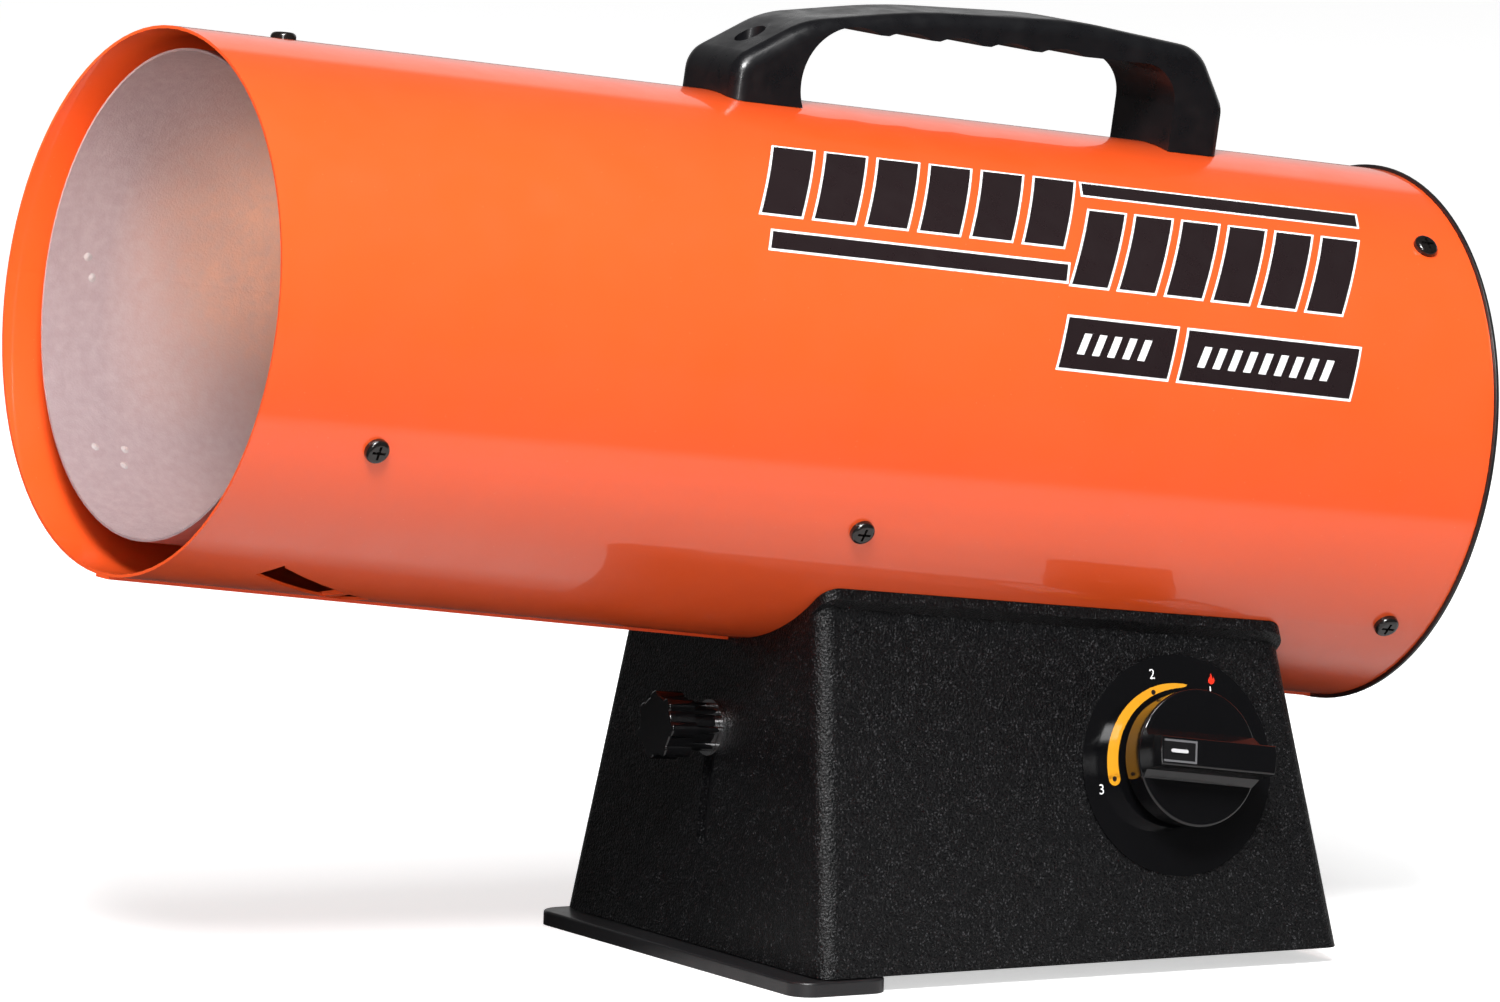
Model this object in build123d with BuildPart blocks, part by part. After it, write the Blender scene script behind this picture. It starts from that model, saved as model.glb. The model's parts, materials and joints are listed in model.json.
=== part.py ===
"""Portable forced-air propane heater, as separate pieces in one frame.

The origin lies on the floor at the middle of the front foot's underside. +X runs from the hot-air
outlet to the fan end, -Y is the side with the gas knob and +Z is up. All sizes are in millimetres.
"""

from build123d import *
from math import cos, radians, sin, sqrt, tan
import os

os.makedirs("parts", exist_ok=True)

# ------------------------------------------------------------------ clearances
seat_gap = 0.15  # between two fixed pieces seated on each other
slide_gap = 0.4  # between a sliding piece and the wall it slides along
running_gap = 0.05  # radial, shaft in its bearing
hole_gap = 0.25  # radial, screw in a clearance hole

# ------------------------------------------------------------------ outer shell
shell_radius = 89.0
shell_wall = 1.0
shell_length = 468.0
shell_tilt = 7.25  # degrees, mouth up
rear_axis_x = 241.76  # the tube's axis at its rear end
rear_axis_rise = 77.04  # the same point's height over the shell's radius
mouth_x = rear_axis_x - shell_length * cos(radians(shell_tilt))
mouth_z = shell_radius + rear_axis_rise + shell_length * sin(radians(shell_tilt))
seam_width = 8.0
seam_height = 0.8
slot_length = 56.4  # slanted slot under the mouth
slot_width = 10.6
slot_slant = -30.0
slot_axial = 61.75
slot_angle = 251.5
slot_flap_depth = 6.5
shell_bore = shell_radius - shell_wall

# ------------------------------------------------------------------ combustion chamber
chamber_gap = 8.4  # between chamber and shell
chamber_wall = 0.8
chamber_recess = 8.8
chamber_lift = 2.9  # its axis above the shell's
chamber_rear_inset = 173.2  # from the shell's rear end
chamber_radius = shell_bore - chamber_gap
chamber_bore = chamber_radius - chamber_wall
chamber_rear = shell_length - chamber_rear_inset
chamber_length = chamber_rear - chamber_recess
spacer_wall = 1.0
spacer_arc = 9.0  # degrees round the shell
spacer_reach = 7.0  # half the flange's length under its screw
spacer_foot = 11.0

# ------------------------------------------------------------------ screws
screw_head_radius = 4.2
screw_head_height = 2.4
screw_radius = 1.9
screw_point_gap = 1.0  # between a screw's point and the chamber
shell_screw_length = shell_wall + chamber_gap - chamber_lift - screw_point_gap
front_screw_axial = 46.0
front_screw_angles = (82.5, 202.5, 322.5)
middle_screw_inset = 60.0  # from the chamber's rear
middle_screw_axial = chamber_rear - middle_screw_inset
middle_screw_angles = (210.0, 330.0)
rear_screw_inset = 17.0  # from the shell's rear end
rear_screw_axial = shell_length - rear_screw_inset
rear_screw_angles = (41.0, 131.0, 221.0, 311.0)
recess_width = 0.9  # cross recess
recess_depth = 1.2

# ------------------------------------------------------------------ rear end
rim_radius = shell_radius + 1.2
rim_face = 5.0  # from the shell's outside to the rim's bore
rim_bore = shell_radius - rim_face
rim_wall = 1.2
rim_thickness = 1.3
rim_skirt = 24.0  # band inside the shell
wire_radius = 1.2
guard_plate_radius = 30.0
guard_plate_wall = 1.5
guard_ring_count = 5
guard_spoke_count = 6
motor_radius = 33.0
motor_length = 46.0
motor_bell = 8.5
motor_boss_radius = 8.0
motor_boss_length = 4.0
motor_screw_circle = 24.0
shaft_radius = 3.0
shaft_length = 88.0
shaft_in_motor = 50.0
fan_tip_gap = 12.0
fan_radius = shell_bore - fan_tip_gap
fan_hub_radius = 20.0
fan_hub_length = 22.0
fan_blade_count = 5
fan_blade_wall = 1.4
fan_root_chord = 27.0
fan_tip_chord = 44.0
fan_root_pitch = 42.0
fan_tip_pitch = 24.0
fan_screw_radius = 1.5

# ------------------------------------------------------------------ burner
plate_wall = 1.0
plate_skirt = 8.0
plate_inset = 9.8  # from the chamber's rear
burner_plate_axial = chamber_rear - plate_inset
venturi_radius = 13.0
venturi_wall = 1.5
venturi_length = 34.0
burner_radius = 34.0
burner_wall = 1.0
burner_depth = 38.0
burner_lip = 7.0
burner_port_radius = 3.0
burner_port_count = 12
air_slot_inset = 20.8  # from the chamber's bore
air_slot_circle = chamber_bore - air_slot_inset
air_slot_length = 16.0
air_slot_width = 4.0
air_slot_count = 12
nozzle_radius = 5.0
nozzle_length = 12.0
nozzle_bore = 0.8
elbow_size = 14.0
elbow_standoff = 43.0  # behind the burner plate
elbow_front = burner_plate_axial + elbow_standoff
elbow_stub_radius = 5.5
elbow_stub_length = 8.0
bracket_wall = 1.5
bracket_width = 10.0
bracket_half_span = 19.5
bracket_foot = 8.0
probe_circle = 24.0
insulator_radius = 3.5
insulator_length = 32.0
rod_radius = 1.0
rod_length = 60.0
thermocouple_radius = 2.4
thermocouple_length = 40.0
limit_radius = 8.0
limit_height = 7.0
limit_flange = 1.2

# ------------------------------------------------------------------ base housing
housing_front = -8.2
housing_length = 202.5
housing_half_width = 82.9
housing_wall = 3.0
housing_corner = 6.0
side_lean = 11.9
front_lean = 4.57
rear_lean = 8.3
saddle_wall = 3.0
saddle_lip = 4.5  # past the side walls, along the shell
pass_offset = 4.0  # behind the elbow's front
pass_axial = elbow_front + pass_offset  # opening from the base up into the shell
pass_length = 46.0
pass_width = 42.0
saddle_screw_insets = (206.0, 93.0)  # from the shell's rear end
saddle_screw_axials = [shell_length - inset for inset in saddle_screw_insets]
saddle_screw_angles = (250.0, 290.0)
boss_radius = 5.0
boss_height = 31.0
boss_inset_x = 22.0
boss_inset_y = 12.9
base_plate_wall = 1.2
base_plate_recess = 2.8
base_screw_length = 12.0

# ------------------------------------------------------------------ feet and tilt clamp
foot_length = 36.0
foot_half_width = 84.6
foot_thickness = 4.8
foot_corner = 8.0
foot_travel = 36.0
tongue_width = 56.0
tongue_wall = 2.5
tongue_top = 15.0  # above the stud
stud_radius = 3.0
stud_y = 0.0
stud_z = 76.6
stud_head_radius = 6.5
stud_head_height = 2.8
stud_length = 15.5  # outside the wall
washer_radius = 9.3
washer_thickness = 1.5
star_radius = 11.5
star_lobes = 7
star_lobe_radius = 2.7
star_head_length = 10.0
star_hub_radius = 7.0
star_hub_length = 10.5
rear_foot_radius = 8.0
rear_foot_y = 34.0
rear_foot_inset = 22.0
rear_foot_stem = 2.9

# ------------------------------------------------------------------ handle
handle_inset = 268.0  # its front, from the shell's rear end
handle_front = shell_length - handle_inset
handle_length = 192.0
handle_width = 36.0
handle_rise = 37.6
handle_front_leg = 28.0
handle_rear_leg = 21.0
grip_rise_front = 24.6  # underside above the shell, at the front and rear of the grip
grip_rise_rear = 26.6
grip_corner = 13.0
scallop_count = 5
scallop_depth = 1.9
scallop_pitch = 20.0
scallop_start = 35.0
scallop_share = 0.85
handle_edge_radius = 5.0
handle_screw_inset = 14.0
handle_screw_inset_rear = 11.0
handle_screw_radius = 2.4
handle_screw_head = 4.4
handle_seat_rise = 8.0
handle_nut_height = 4.0

# ------------------------------------------------------------------ gas control
dial_inset = 59.9  # from the housing's rear
dial_x = housing_front + housing_length - dial_inset
dial_z = 68.7
dial_drop = 1.6  # the plate's middle below the stem
dial_radius = 36.6
dial_wall = 0.8
valve_width = 44.0
valve_height = 38.0
valve_depth = 30.0
bonnet_radius = 9.5
bonnet_bore = 6.5
bonnet_depth = 24.0
stem_radius = 4.0
stem_inner = 20.0  # below the wall's outer face
stem_outer = 13.0
collar_length = 4.0
push_travel = 3.0
spring_wire = 0.45
spring_radius = 5.2
spring_turns = 6
valve_screw_spread = 16.0
valve_screw_radius = 1.7
valve_screw_length = 12.0
knob_radius = 23.0
knob_back_radius = 22.0
knob_face = 14.5  # above the wall
knob_wall = 2.2
knob_top = 27.0
knob_bar_width = 9.5
knob_bar_base = 16.5
knob_bar_turn = -7.5
knob_bar_radius = 22.7
knob_hub_wall = 3.5
insert_start = 8.7  # from the knob's middle
insert_length = 14.0
insert_wall = 1.0
insert_inset = 0.5
dash_length = 6.5
dash_width = 1.2

# ------------------------------------------------------------------ gas inlet and igniter
tube_radius = 3.0
tube_bend = 7.0
port_spread = 10.0
port_run = 26.0  # straight run out of each port
tube_drop = 36.0  # the lowest bend's distance under the saddle
lead_drop = 27.0
lead_bend = 6.0
lead_run = 13.0
nut_radius = 6.5
nut_length = 8.0
inlet_radius = 7.94
inlet_thread = 14.0
inlet_hex_radius = 11.0
inlet_hex = 6.0
inlet_bore = 3.6
inlet_tail = 12.0
inlet_nut_wall = 5.0
inlet_y = -8.0
inlet_z = 36.0
inlet_run = 26.0  # straight run into the fitting
piezo_y = 36.0
piezo_z = 60.0
piezo_radius = 8.0
piezo_length = 42.0
piezo_nut_radius = 12.0
piezo_nut_wall = 3.0
button_radius = 6.0
button_rise = 8.0
button_travel = 5.0
button_tail = 6.0
bushing_y = 48.0
bushing_z = 28.0
bushing_radius = 7.5
bushing_flange = 9.5
bushing_flange_wall = 2.5
bushing_bore = 3.8
lead_radius = 1.3


# ------------------------------------------------------------------ planes
up = Vector(0, 0, 1)
tube_plane = Plane(
    origin=(mouth_x, 0, mouth_z),
    x_dir=(0, 1, 0),
    z_dir=(cos(radians(shell_tilt)), 0, -sin(radians(shell_tilt))),
)
tube_axis = Axis(tube_plane.origin, tube_plane.z_dir)
height_axis = Axis(tube_plane.origin, tube_plane.y_dir)
side_profile = Plane(origin=tube_plane.origin, x_dir=tube_plane.z_dir, z_dir=(0, -1, 0))
housing_bottom = foot_thickness + slide_gap


def outward_at(angle):
    """Unit vector out from the tube's axis, angle in degrees from +Y over the top."""
    turn = radians(angle)
    return tube_plane.x_dir * cos(turn) + tube_plane.y_dir * sin(turn)


def in_tube(across, above, axial):
    """A point given across and above the tube's axis, and along it from the mouth."""
    return tube_plane.from_local_coords(Vector(across, above, axial))


def radial_plane(axial, angle, radius, lift=0):
    """Plane square to the tube's radius, z outward and x along the tube."""
    turn = radians(angle)
    origin = in_tube(radius * cos(turn), radius * sin(turn) + lift, axial)
    return Plane(origin=origin, x_dir=tube_plane.z_dir, z_dir=outward_at(angle))


def radial_planes(axial, angles, radius, lift=0):
    return [radial_plane(axial, angle, radius, lift) for angle in angles]


chamber_plane = Plane(
    origin=in_tube(0, chamber_lift, 0), x_dir=tube_plane.x_dir, z_dir=tube_plane.z_dir
)


def axis_height(x):
    """Height of the tube's axis over a point of the floor."""
    return mouth_z - (x - mouth_x) * tan(radians(shell_tilt))


def front_wall_at(y, z):
    """Plane on the front wall's outer face, z outward and y up the wall."""
    lean = radians(front_lean)
    x = housing_front + (z - housing_bottom) * tan(lean)
    return Plane(origin=(x, y, z), x_dir=(0, -1, 0), z_dir=(-cos(lean), 0, sin(lean)))


def rear_wall_at(y, z):
    """Plane on the rear wall's outer face, z outward and y up the wall."""
    lean = radians(rear_lean)
    x = housing_front + housing_length - (z - housing_bottom) * tan(lean)
    return Plane(origin=(x, y, z), x_dir=(0, 1, 0), z_dir=(cos(lean), 0, sin(lean)))


def side_wall_at(x, z):
    """Plane on the knob side's outer face, z outward and y up the wall."""
    lean = radians(side_lean)
    y = -housing_half_width + (z - housing_bottom) * tan(lean)
    return Plane(origin=(x, y, z), x_dir=(1, 0, 0), z_dir=(0, -cos(lean), sin(lean)))


def save(piece, label):
    """Name a finished piece and write its STEP file."""
    piece.label = label
    export_step(piece, f"parts/{label}.step")


# ------------------------------------------------------------------ shared shapes
def pan_screw(head_radius, head_height, shank_radius, shank_length):
    """Cross-recessed pan-head screw, seated on z = 0 with its shank along -z."""
    with BuildPart() as screw:
        with BuildSketch():
            Circle(head_radius)
        extrude(amount=head_height)
        fillet(screw.faces().sort_by(Axis.Z)[-1].edges(), head_height * 0.6)
        with BuildSketch():
            Circle(shank_radius)
        extrude(amount=-shank_length)
        with BuildSketch(Plane.XY.offset(head_height)):
            Rectangle(head_radius * 1.15, recess_width)
            Rectangle(recess_width, head_radius * 1.15)
        extrude(amount=-recess_depth, mode=Mode.SUBTRACT)
    return screw.part


def hex_nut(across_corners, height, bore):
    """Plain hexagon nut standing on z = 0."""
    with BuildPart() as nut:
        with BuildSketch():
            RegularPolygon(across_corners, 6)
            Circle(bore, mode=Mode.SUBTRACT)
        extrude(amount=height)
    return nut.part


def tube_along(points, bend, radius):
    """Round tube or lead through the points, with one bend radius."""
    with BuildPart() as tube:
        with BuildLine() as route:
            FilletPolyline(*points, radius=bend)
        with BuildSketch(Plane(origin=route.line @ 0, z_dir=route.line % 0)):
            Circle(radius)
        sweep(path=route.line)
    return tube.part


# ------------------------------------------------------------------ outer shell
slot_plane = radial_plane(slot_axial, slot_angle, shell_radius)
flap_wall = shell_wall
bridge_place = slot_length * 0.3
with BuildPart() as slot_flap:
    with BuildSketch(slot_plane.offset(-slot_flap_depth)):
        with Locations(Location((0, 0, 0), (0, 0, slot_slant))):
            with Locations((0, slot_width / 2 - flap_wall / 2)):
                Rectangle(slot_length * 0.92, flap_wall)
    extrude(amount=slot_flap_depth)
    with BuildSketch(slot_plane.offset(-2.4 * shell_wall)):
        with Locations(Location((0, 0, 0), (0, 0, slot_slant))):
            with Locations((bridge_place, 0)):
                Rectangle(3 * flap_wall, slot_width + 2 * flap_wall)
    extrude(amount=1.6 * shell_wall)
    with BuildSketch(tube_plane):
        Circle(shell_radius - shell_wall / 4)
    extrude(amount=shell_length, mode=Mode.INTERSECT)

shell_screw_planes = (
    radial_planes(front_screw_axial, front_screw_angles, shell_radius)
    + radial_planes(middle_screw_axial, middle_screw_angles, shell_radius)
    + radial_planes(rear_screw_axial, rear_screw_angles, shell_radius)
)
saddle_screw_planes = [
    plane
    for axial in saddle_screw_axials
    for plane in radial_planes(axial, saddle_screw_angles, shell_radius + seat_gap + saddle_wall)
]
handle_screw_axials = (handle_front + handle_screw_inset,
                       handle_front + handle_length - handle_screw_inset_rear)
handle_screw_planes = [radial_plane(axial, 90, shell_radius) for axial in handle_screw_axials]

with BuildPart() as outer_shell:
    with BuildSketch(tube_plane):
        Circle(shell_radius)
        with Locations((0, -shell_radius)):
            Rectangle(seam_width, 2 * seam_height)
        Circle(shell_bore, mode=Mode.SUBTRACT)
    extrude(amount=shell_length)
    with BuildSketch(slot_plane):
        Rectangle(slot_length, slot_width, rotation=slot_slant)
    extrude(amount=slot_flap_depth, both=True, mode=Mode.SUBTRACT)
    with BuildSketch(radial_plane(pass_axial, 270, shell_radius)):
        RectangleRounded(pass_length, pass_width, pass_width / 6)
    extrude(amount=slot_flap_depth, both=True, mode=Mode.SUBTRACT)
    with Locations(*shell_screw_planes):
        Hole(screw_radius + hole_gap, depth=3 * shell_wall)
    with Locations(*saddle_screw_planes):
        Hole(screw_radius + hole_gap, depth=saddle_wall + 3 * shell_wall)
    with Locations(*handle_screw_planes):
        Hole(handle_screw_radius + hole_gap, depth=3 * shell_wall)
    add(slot_flap.part)
save(outer_shell.part, "outer_shell")

# ------------------------------------------------------------------ combustion chamber
with BuildPart() as combustion_chamber:
    with BuildSketch(chamber_plane.offset(chamber_recess)):
        Circle(chamber_radius)
        Circle(chamber_bore, mode=Mode.SUBTRACT)
    extrude(amount=chamber_length)
save(combustion_chamber.part, "combustion_chamber")

spacer_outer = shell_bore - seat_gap


def spacer(axial, angle):
    """Z-bent clip: its foot on the chamber, its flange under the shell."""
    lift = chamber_lift * sin(radians(angle))
    drift = abs(chamber_lift * cos(radians(angle))) * sin(radians(spacer_arc / 2))
    spacer_inner = chamber_radius + lift + drift + seat_gap
    outward = outward_at(angle - spacer_arc / 2)
    section = Plane(
        origin=tube_plane.origin, x_dir=outward, z_dir=outward.cross(tube_plane.z_dir)
    )
    front = axial - spacer_reach
    with BuildPart() as clip:
        with BuildSketch(section):
            with BuildLine():
                Polyline(
                    (spacer_inner, front + spacer_wall),
                    (spacer_inner, front - spacer_foot),
                    (spacer_inner + spacer_wall, front - spacer_foot),
                    (spacer_inner + spacer_wall, front),
                    (spacer_outer, front),
                    (spacer_outer, axial + spacer_reach),
                    (spacer_outer - spacer_wall, axial + spacer_reach),
                    (spacer_outer - spacer_wall, front + spacer_wall),
                    close=True,
                )
            make_face()
        revolve(axis=tube_axis, revolution_arc=spacer_arc)
        with Locations(radial_plane(axial, angle, spacer_outer)):
            Hole(screw_radius + hole_gap, depth=2 * spacer_wall)
    return clip.part


with BuildPart() as front_spacers:
    for angle in front_screw_angles:
        add(spacer(front_screw_axial, angle))
save(front_spacers.part, "front_spacers")

with BuildPart() as middle_spacers:
    for angle in middle_screw_angles:
        add(spacer(middle_screw_axial, angle))
save(middle_spacers.part, "middle_spacers")

# ------------------------------------------------------------------ shell screws
shell_screw = pan_screw(screw_head_radius, screw_head_height, screw_radius, shell_screw_length)
screw_rings = {
    "front_shell_screws": radial_planes(front_screw_axial, front_screw_angles, shell_radius),
    "middle_shell_screws": radial_planes(middle_screw_axial, middle_screw_angles, shell_radius),
    "rear_shell_screws": radial_planes(rear_screw_axial, rear_screw_angles, shell_radius),
}
for label, planes in screw_rings.items():
    with BuildPart() as ring_screws:
        with Locations(*planes):
            add(shell_screw)
    save(ring_screws.part, label)

# ------------------------------------------------------------------ rear rim and fan guard
rim_front = shell_length + seat_gap
skirt_radius = shell_bore - seat_gap
with BuildPart() as rear_rim:
    with BuildSketch(tube_plane.offset(rim_front)):
        Circle(rim_radius)
    extrude(amount=rim_thickness)
    fillet(rear_rim.edges().filter_by(GeomType.CIRCLE), rim_thickness * 0.3)
    with BuildSketch(tube_plane.offset(shell_length - rim_skirt)):
        Circle(skirt_radius)
    extrude(amount=rim_skirt + rim_thickness / 2)
    with BuildSketch(tube_plane.offset(shell_length - rim_skirt)):
        Circle(skirt_radius - rim_wall)
    extrude(amount=rim_skirt + seat_gap, mode=Mode.SUBTRACT)
    with BuildSketch(tube_plane.offset(shell_length - rim_skirt)):
        Circle(rim_bore)
    extrude(amount=rim_skirt + 2 * rim_thickness, mode=Mode.SUBTRACT)
    with Locations(*radial_planes(rear_screw_axial, rear_screw_angles, skirt_radius)):
        Hole(screw_radius + hole_gap, depth=2 * rim_wall)
save(rear_rim.part, "rear_rim")

wire_level = rim_front + rim_thickness / 2
guard_outer = rim_bore - seat_gap - wire_radius
guard_inner = guard_plate_radius + 2 * wire_radius
guard_step = (guard_outer - guard_inner) / (guard_ring_count - 1)
guard_plate_rear = wire_level - wire_radius / 2
with BuildPart() as fan_guard:
    with BuildSketch(tube_plane.offset(guard_plate_rear)):
        Circle(guard_plate_radius)
        Circle(motor_boss_radius / 2, mode=Mode.SUBTRACT)
        with PolarLocations(motor_screw_circle, 4, start_angle=45):
            Circle(screw_radius + hole_gap, mode=Mode.SUBTRACT)
    extrude(amount=-guard_plate_wall)
    with Locations(tube_plane.offset(wire_level)):
        for ring in range(guard_ring_count):
            Torus(guard_inner + ring * guard_step, wire_radius)
    spoke_start = guard_plate_radius - 3 * wire_radius
    spoke_level = wire_level - wire_radius * 0.7
    for spoke in range(guard_spoke_count):
        angle = 30 + spoke * 360 / guard_spoke_count
        with BuildSketch(radial_plane(spoke_level, angle, spoke_start)):
            Circle(wire_radius)
        extrude(amount=guard_outer - spoke_start)
save(fan_guard.part, "fan_guard")

# ------------------------------------------------------------------ motor and fan
motor_rear = guard_plate_rear - guard_plate_wall
motor_can_front = motor_rear - motor_length
motor_front = motor_can_front - motor_bell - motor_boss_length
motor_bore = shaft_radius + running_gap
with BuildPart() as fan_motor:
    with BuildSketch(tube_plane.offset(motor_can_front)):
        Circle(motor_radius)
    extrude(amount=motor_length)
    fillet(fan_motor.faces().sort_by(tube_axis)[-1].edges(), 2.5)
    with BuildSketch(tube_plane.offset(motor_can_front - motor_bell)):
        Circle(motor_radius * 0.55)
    with BuildSketch(tube_plane.offset(motor_can_front)):
        Circle(motor_radius)
    loft()
    with BuildSketch(tube_plane.offset(motor_front)):
        Circle(motor_boss_radius)
    extrude(amount=motor_boss_length + motor_bell)
    with BuildSketch(tube_plane.offset(motor_front)):
        Circle(motor_bore)
    extrude(amount=shaft_in_motor + 2, mode=Mode.SUBTRACT)
    with Locations(tube_plane.offset(motor_rear)):
        with PolarLocations(motor_screw_circle, 4, start_angle=45):
            Hole(screw_radius + hole_gap, depth=shell_screw_length)
save(fan_motor.part, "fan_motor")

with BuildPart() as motor_screws:
    with Locations(tube_plane.offset(guard_plate_rear)):
        with PolarLocations(motor_screw_circle, 4, start_angle=45):
            add(shell_screw)
save(motor_screws.part, "motor_screws")

shaft_front = motor_front + shaft_in_motor - shaft_length
with BuildPart() as motor_shaft:
    with BuildSketch(tube_plane.offset(shaft_front)):
        Circle(shaft_radius)
    extrude(amount=shaft_length)
save(motor_shaft.part, "motor_shaft")

fan_front = shaft_front + 4
with BuildPart() as blade:
    root_plane = Plane(origin=(fan_hub_radius - 3, 0, fan_hub_length / 2), z_dir=(1, 0, 0),
                       x_dir=(0, cos(radians(fan_root_pitch)), sin(radians(fan_root_pitch))))
    tip_plane = Plane(origin=(fan_radius + 4, 0, fan_hub_length / 2), z_dir=(1, 0, 0),
                      x_dir=(0, cos(radians(fan_tip_pitch)), sin(radians(fan_tip_pitch))))
    with BuildSketch(root_plane):
        Rectangle(fan_root_chord, fan_blade_wall)
    with BuildSketch(tip_plane):
        Rectangle(fan_tip_chord, fan_blade_wall)
    loft()
    with BuildSketch():
        Circle(fan_radius)
    extrude(amount=4 * fan_hub_length, both=True, mode=Mode.INTERSECT)

with BuildPart() as fan_rotor:
    with BuildSketch():
        Circle(fan_hub_radius)
    extrude(amount=fan_hub_length)
    with PolarLocations(0, fan_blade_count):
        add(blade.part)
    with BuildSketch(Plane.XY.offset(fan_hub_length)):
        Circle(fan_hub_radius - 2)
        Circle(2.5 * shaft_radius, mode=Mode.SUBTRACT)
    extrude(amount=3 - fan_hub_length, mode=Mode.SUBTRACT)
    with BuildSketch():
        Circle(shaft_radius + running_gap / 2)
    extrude(amount=fan_hub_length, mode=Mode.SUBTRACT)

with BuildPart() as fan_impeller:
    with Locations(tube_plane.offset(fan_front)):
        add(fan_rotor.part)
save(fan_impeller.part, "fan_impeller")

# ------------------------------------------------------------------ burner
plate_radius = chamber_bore - seat_gap
venturi_hole = venturi_radius + seat_gap
slot_start = 180 / air_slot_count
probe_places = {"igniter": 45.0, "thermocouple": 135.0}
with BuildPart() as burner_plate:
    with BuildSketch(chamber_plane.offset(burner_plate_axial)):
        Circle(plate_radius)
        Circle(venturi_hole, mode=Mode.SUBTRACT)
        with PolarLocations(air_slot_circle, air_slot_count, start_angle=slot_start):
            SlotOverall(air_slot_length, air_slot_width, mode=Mode.SUBTRACT)
        with PolarLocations(probe_circle, 1, start_angle=probe_places["igniter"]):
            Circle(insulator_radius + hole_gap, mode=Mode.SUBTRACT)
        with PolarLocations(probe_circle, 1, start_angle=probe_places["thermocouple"]):
            Circle(thermocouple_radius + hole_gap, mode=Mode.SUBTRACT)
    extrude(amount=plate_wall)
    with BuildSketch(chamber_plane.offset(burner_plate_axial)):
        Circle(plate_radius)
        Circle(plate_radius - plate_wall, mode=Mode.SUBTRACT)
    extrude(amount=plate_skirt)
save(burner_plate.part, "burner_plate")

burner_back = burner_plate_axial - burner_wall
with BuildPart() as burner_head:
    with BuildSketch(chamber_plane.offset(burner_back)):
        Circle(burner_radius)
        Circle(venturi_hole, mode=Mode.SUBTRACT)
        with PolarLocations((venturi_radius + burner_radius) / 2, 8, start_angle=0):
            Circle(burner_port_radius * 0.7, mode=Mode.SUBTRACT)
        with PolarLocations(probe_circle, 1, start_angle=probe_places["igniter"]):
            Circle(insulator_radius + hole_gap, mode=Mode.SUBTRACT)
        with PolarLocations(probe_circle, 1, start_angle=probe_places["thermocouple"]):
            Circle(thermocouple_radius + hole_gap, mode=Mode.SUBTRACT)
    extrude(amount=burner_wall)
    with BuildSketch(chamber_plane.offset(burner_back - burner_depth)):
        Circle(burner_radius)
        Circle(burner_radius - burner_wall, mode=Mode.SUBTRACT)
    extrude(amount=burner_depth)
    with BuildSketch(chamber_plane.offset(burner_back - burner_depth)):
        Circle(burner_radius + burner_lip)
        Circle(burner_radius - burner_wall, mode=Mode.SUBTRACT)
    extrude(amount=burner_wall)
    for row in (1, 2):
        row_axial = burner_back - burner_depth * row / 3
        row_turn = row * 180 / burner_port_count
        angles = [row_turn + port * 360 / burner_port_count for port in range(burner_port_count)]
        with Locations(*radial_planes(row_axial, angles, burner_radius, chamber_lift)):
            Hole(burner_port_radius, depth=3 * burner_wall)
save(burner_head.part, "burner_head")

venturi_front = burner_back - burner_wall
with BuildPart() as venturi_tube:
    with BuildSketch(chamber_plane.offset(venturi_front)):
        Circle(venturi_radius)
        Circle(venturi_radius - venturi_wall, mode=Mode.SUBTRACT)
    extrude(amount=venturi_length)
    port_axial = venturi_front + venturi_length * 0.75
    with Locations(*radial_planes(port_axial, (0, 90, 180, 270), venturi_radius, chamber_lift)):
        Hole(burner_port_radius, depth=2 * venturi_wall)
save(venturi_tube.part, "venturi_tube")

elbow_rear = elbow_front + elbow_size
elbow_middle = elbow_front + elbow_size / 2
with BuildPart() as orifice_elbow:
    with BuildSketch(chamber_plane.offset(elbow_front)):
        Rectangle(elbow_size, elbow_size)
    extrude(amount=elbow_size)
    fillet(orifice_elbow.edges().filter_by(tube_axis), 2)
    with BuildSketch(radial_plane(elbow_middle, 270, elbow_size / 2, chamber_lift)):
        Circle(elbow_stub_radius)
    extrude(amount=elbow_stub_length)
    with BuildSketch(radial_plane(elbow_middle, 270, elbow_size / 2 + elbow_stub_length, chamber_lift)):
        Circle(tube_radius + seat_gap)
    extrude(amount=-elbow_stub_length, mode=Mode.SUBTRACT)
    with BuildSketch(chamber_plane.offset(elbow_front)):
        Circle(nozzle_radius * 0.5)
    extrude(amount=elbow_size / 2, mode=Mode.SUBTRACT)
    with Locations(chamber_plane.offset(elbow_rear)):
        Hole(screw_radius + hole_gap, depth=elbow_size / 3)
save(orifice_elbow.part, "orifice_elbow")

with BuildPart() as gas_orifice:
    with BuildSketch(chamber_plane.offset(elbow_front)):
        RegularPolygon(nozzle_radius, 6)
    extrude(amount=-nozzle_length / 2)
    with BuildSketch(chamber_plane.offset(elbow_front - nozzle_length / 2)):
        Circle(nozzle_radius * 0.75)
    extrude(amount=-nozzle_length / 2, taper=8)
    with BuildSketch(chamber_plane.offset(elbow_front)):
        Circle(nozzle_bore)
    extrude(amount=-nozzle_length, mode=Mode.SUBTRACT)
save(gas_orifice.part, "gas_orifice")

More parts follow.
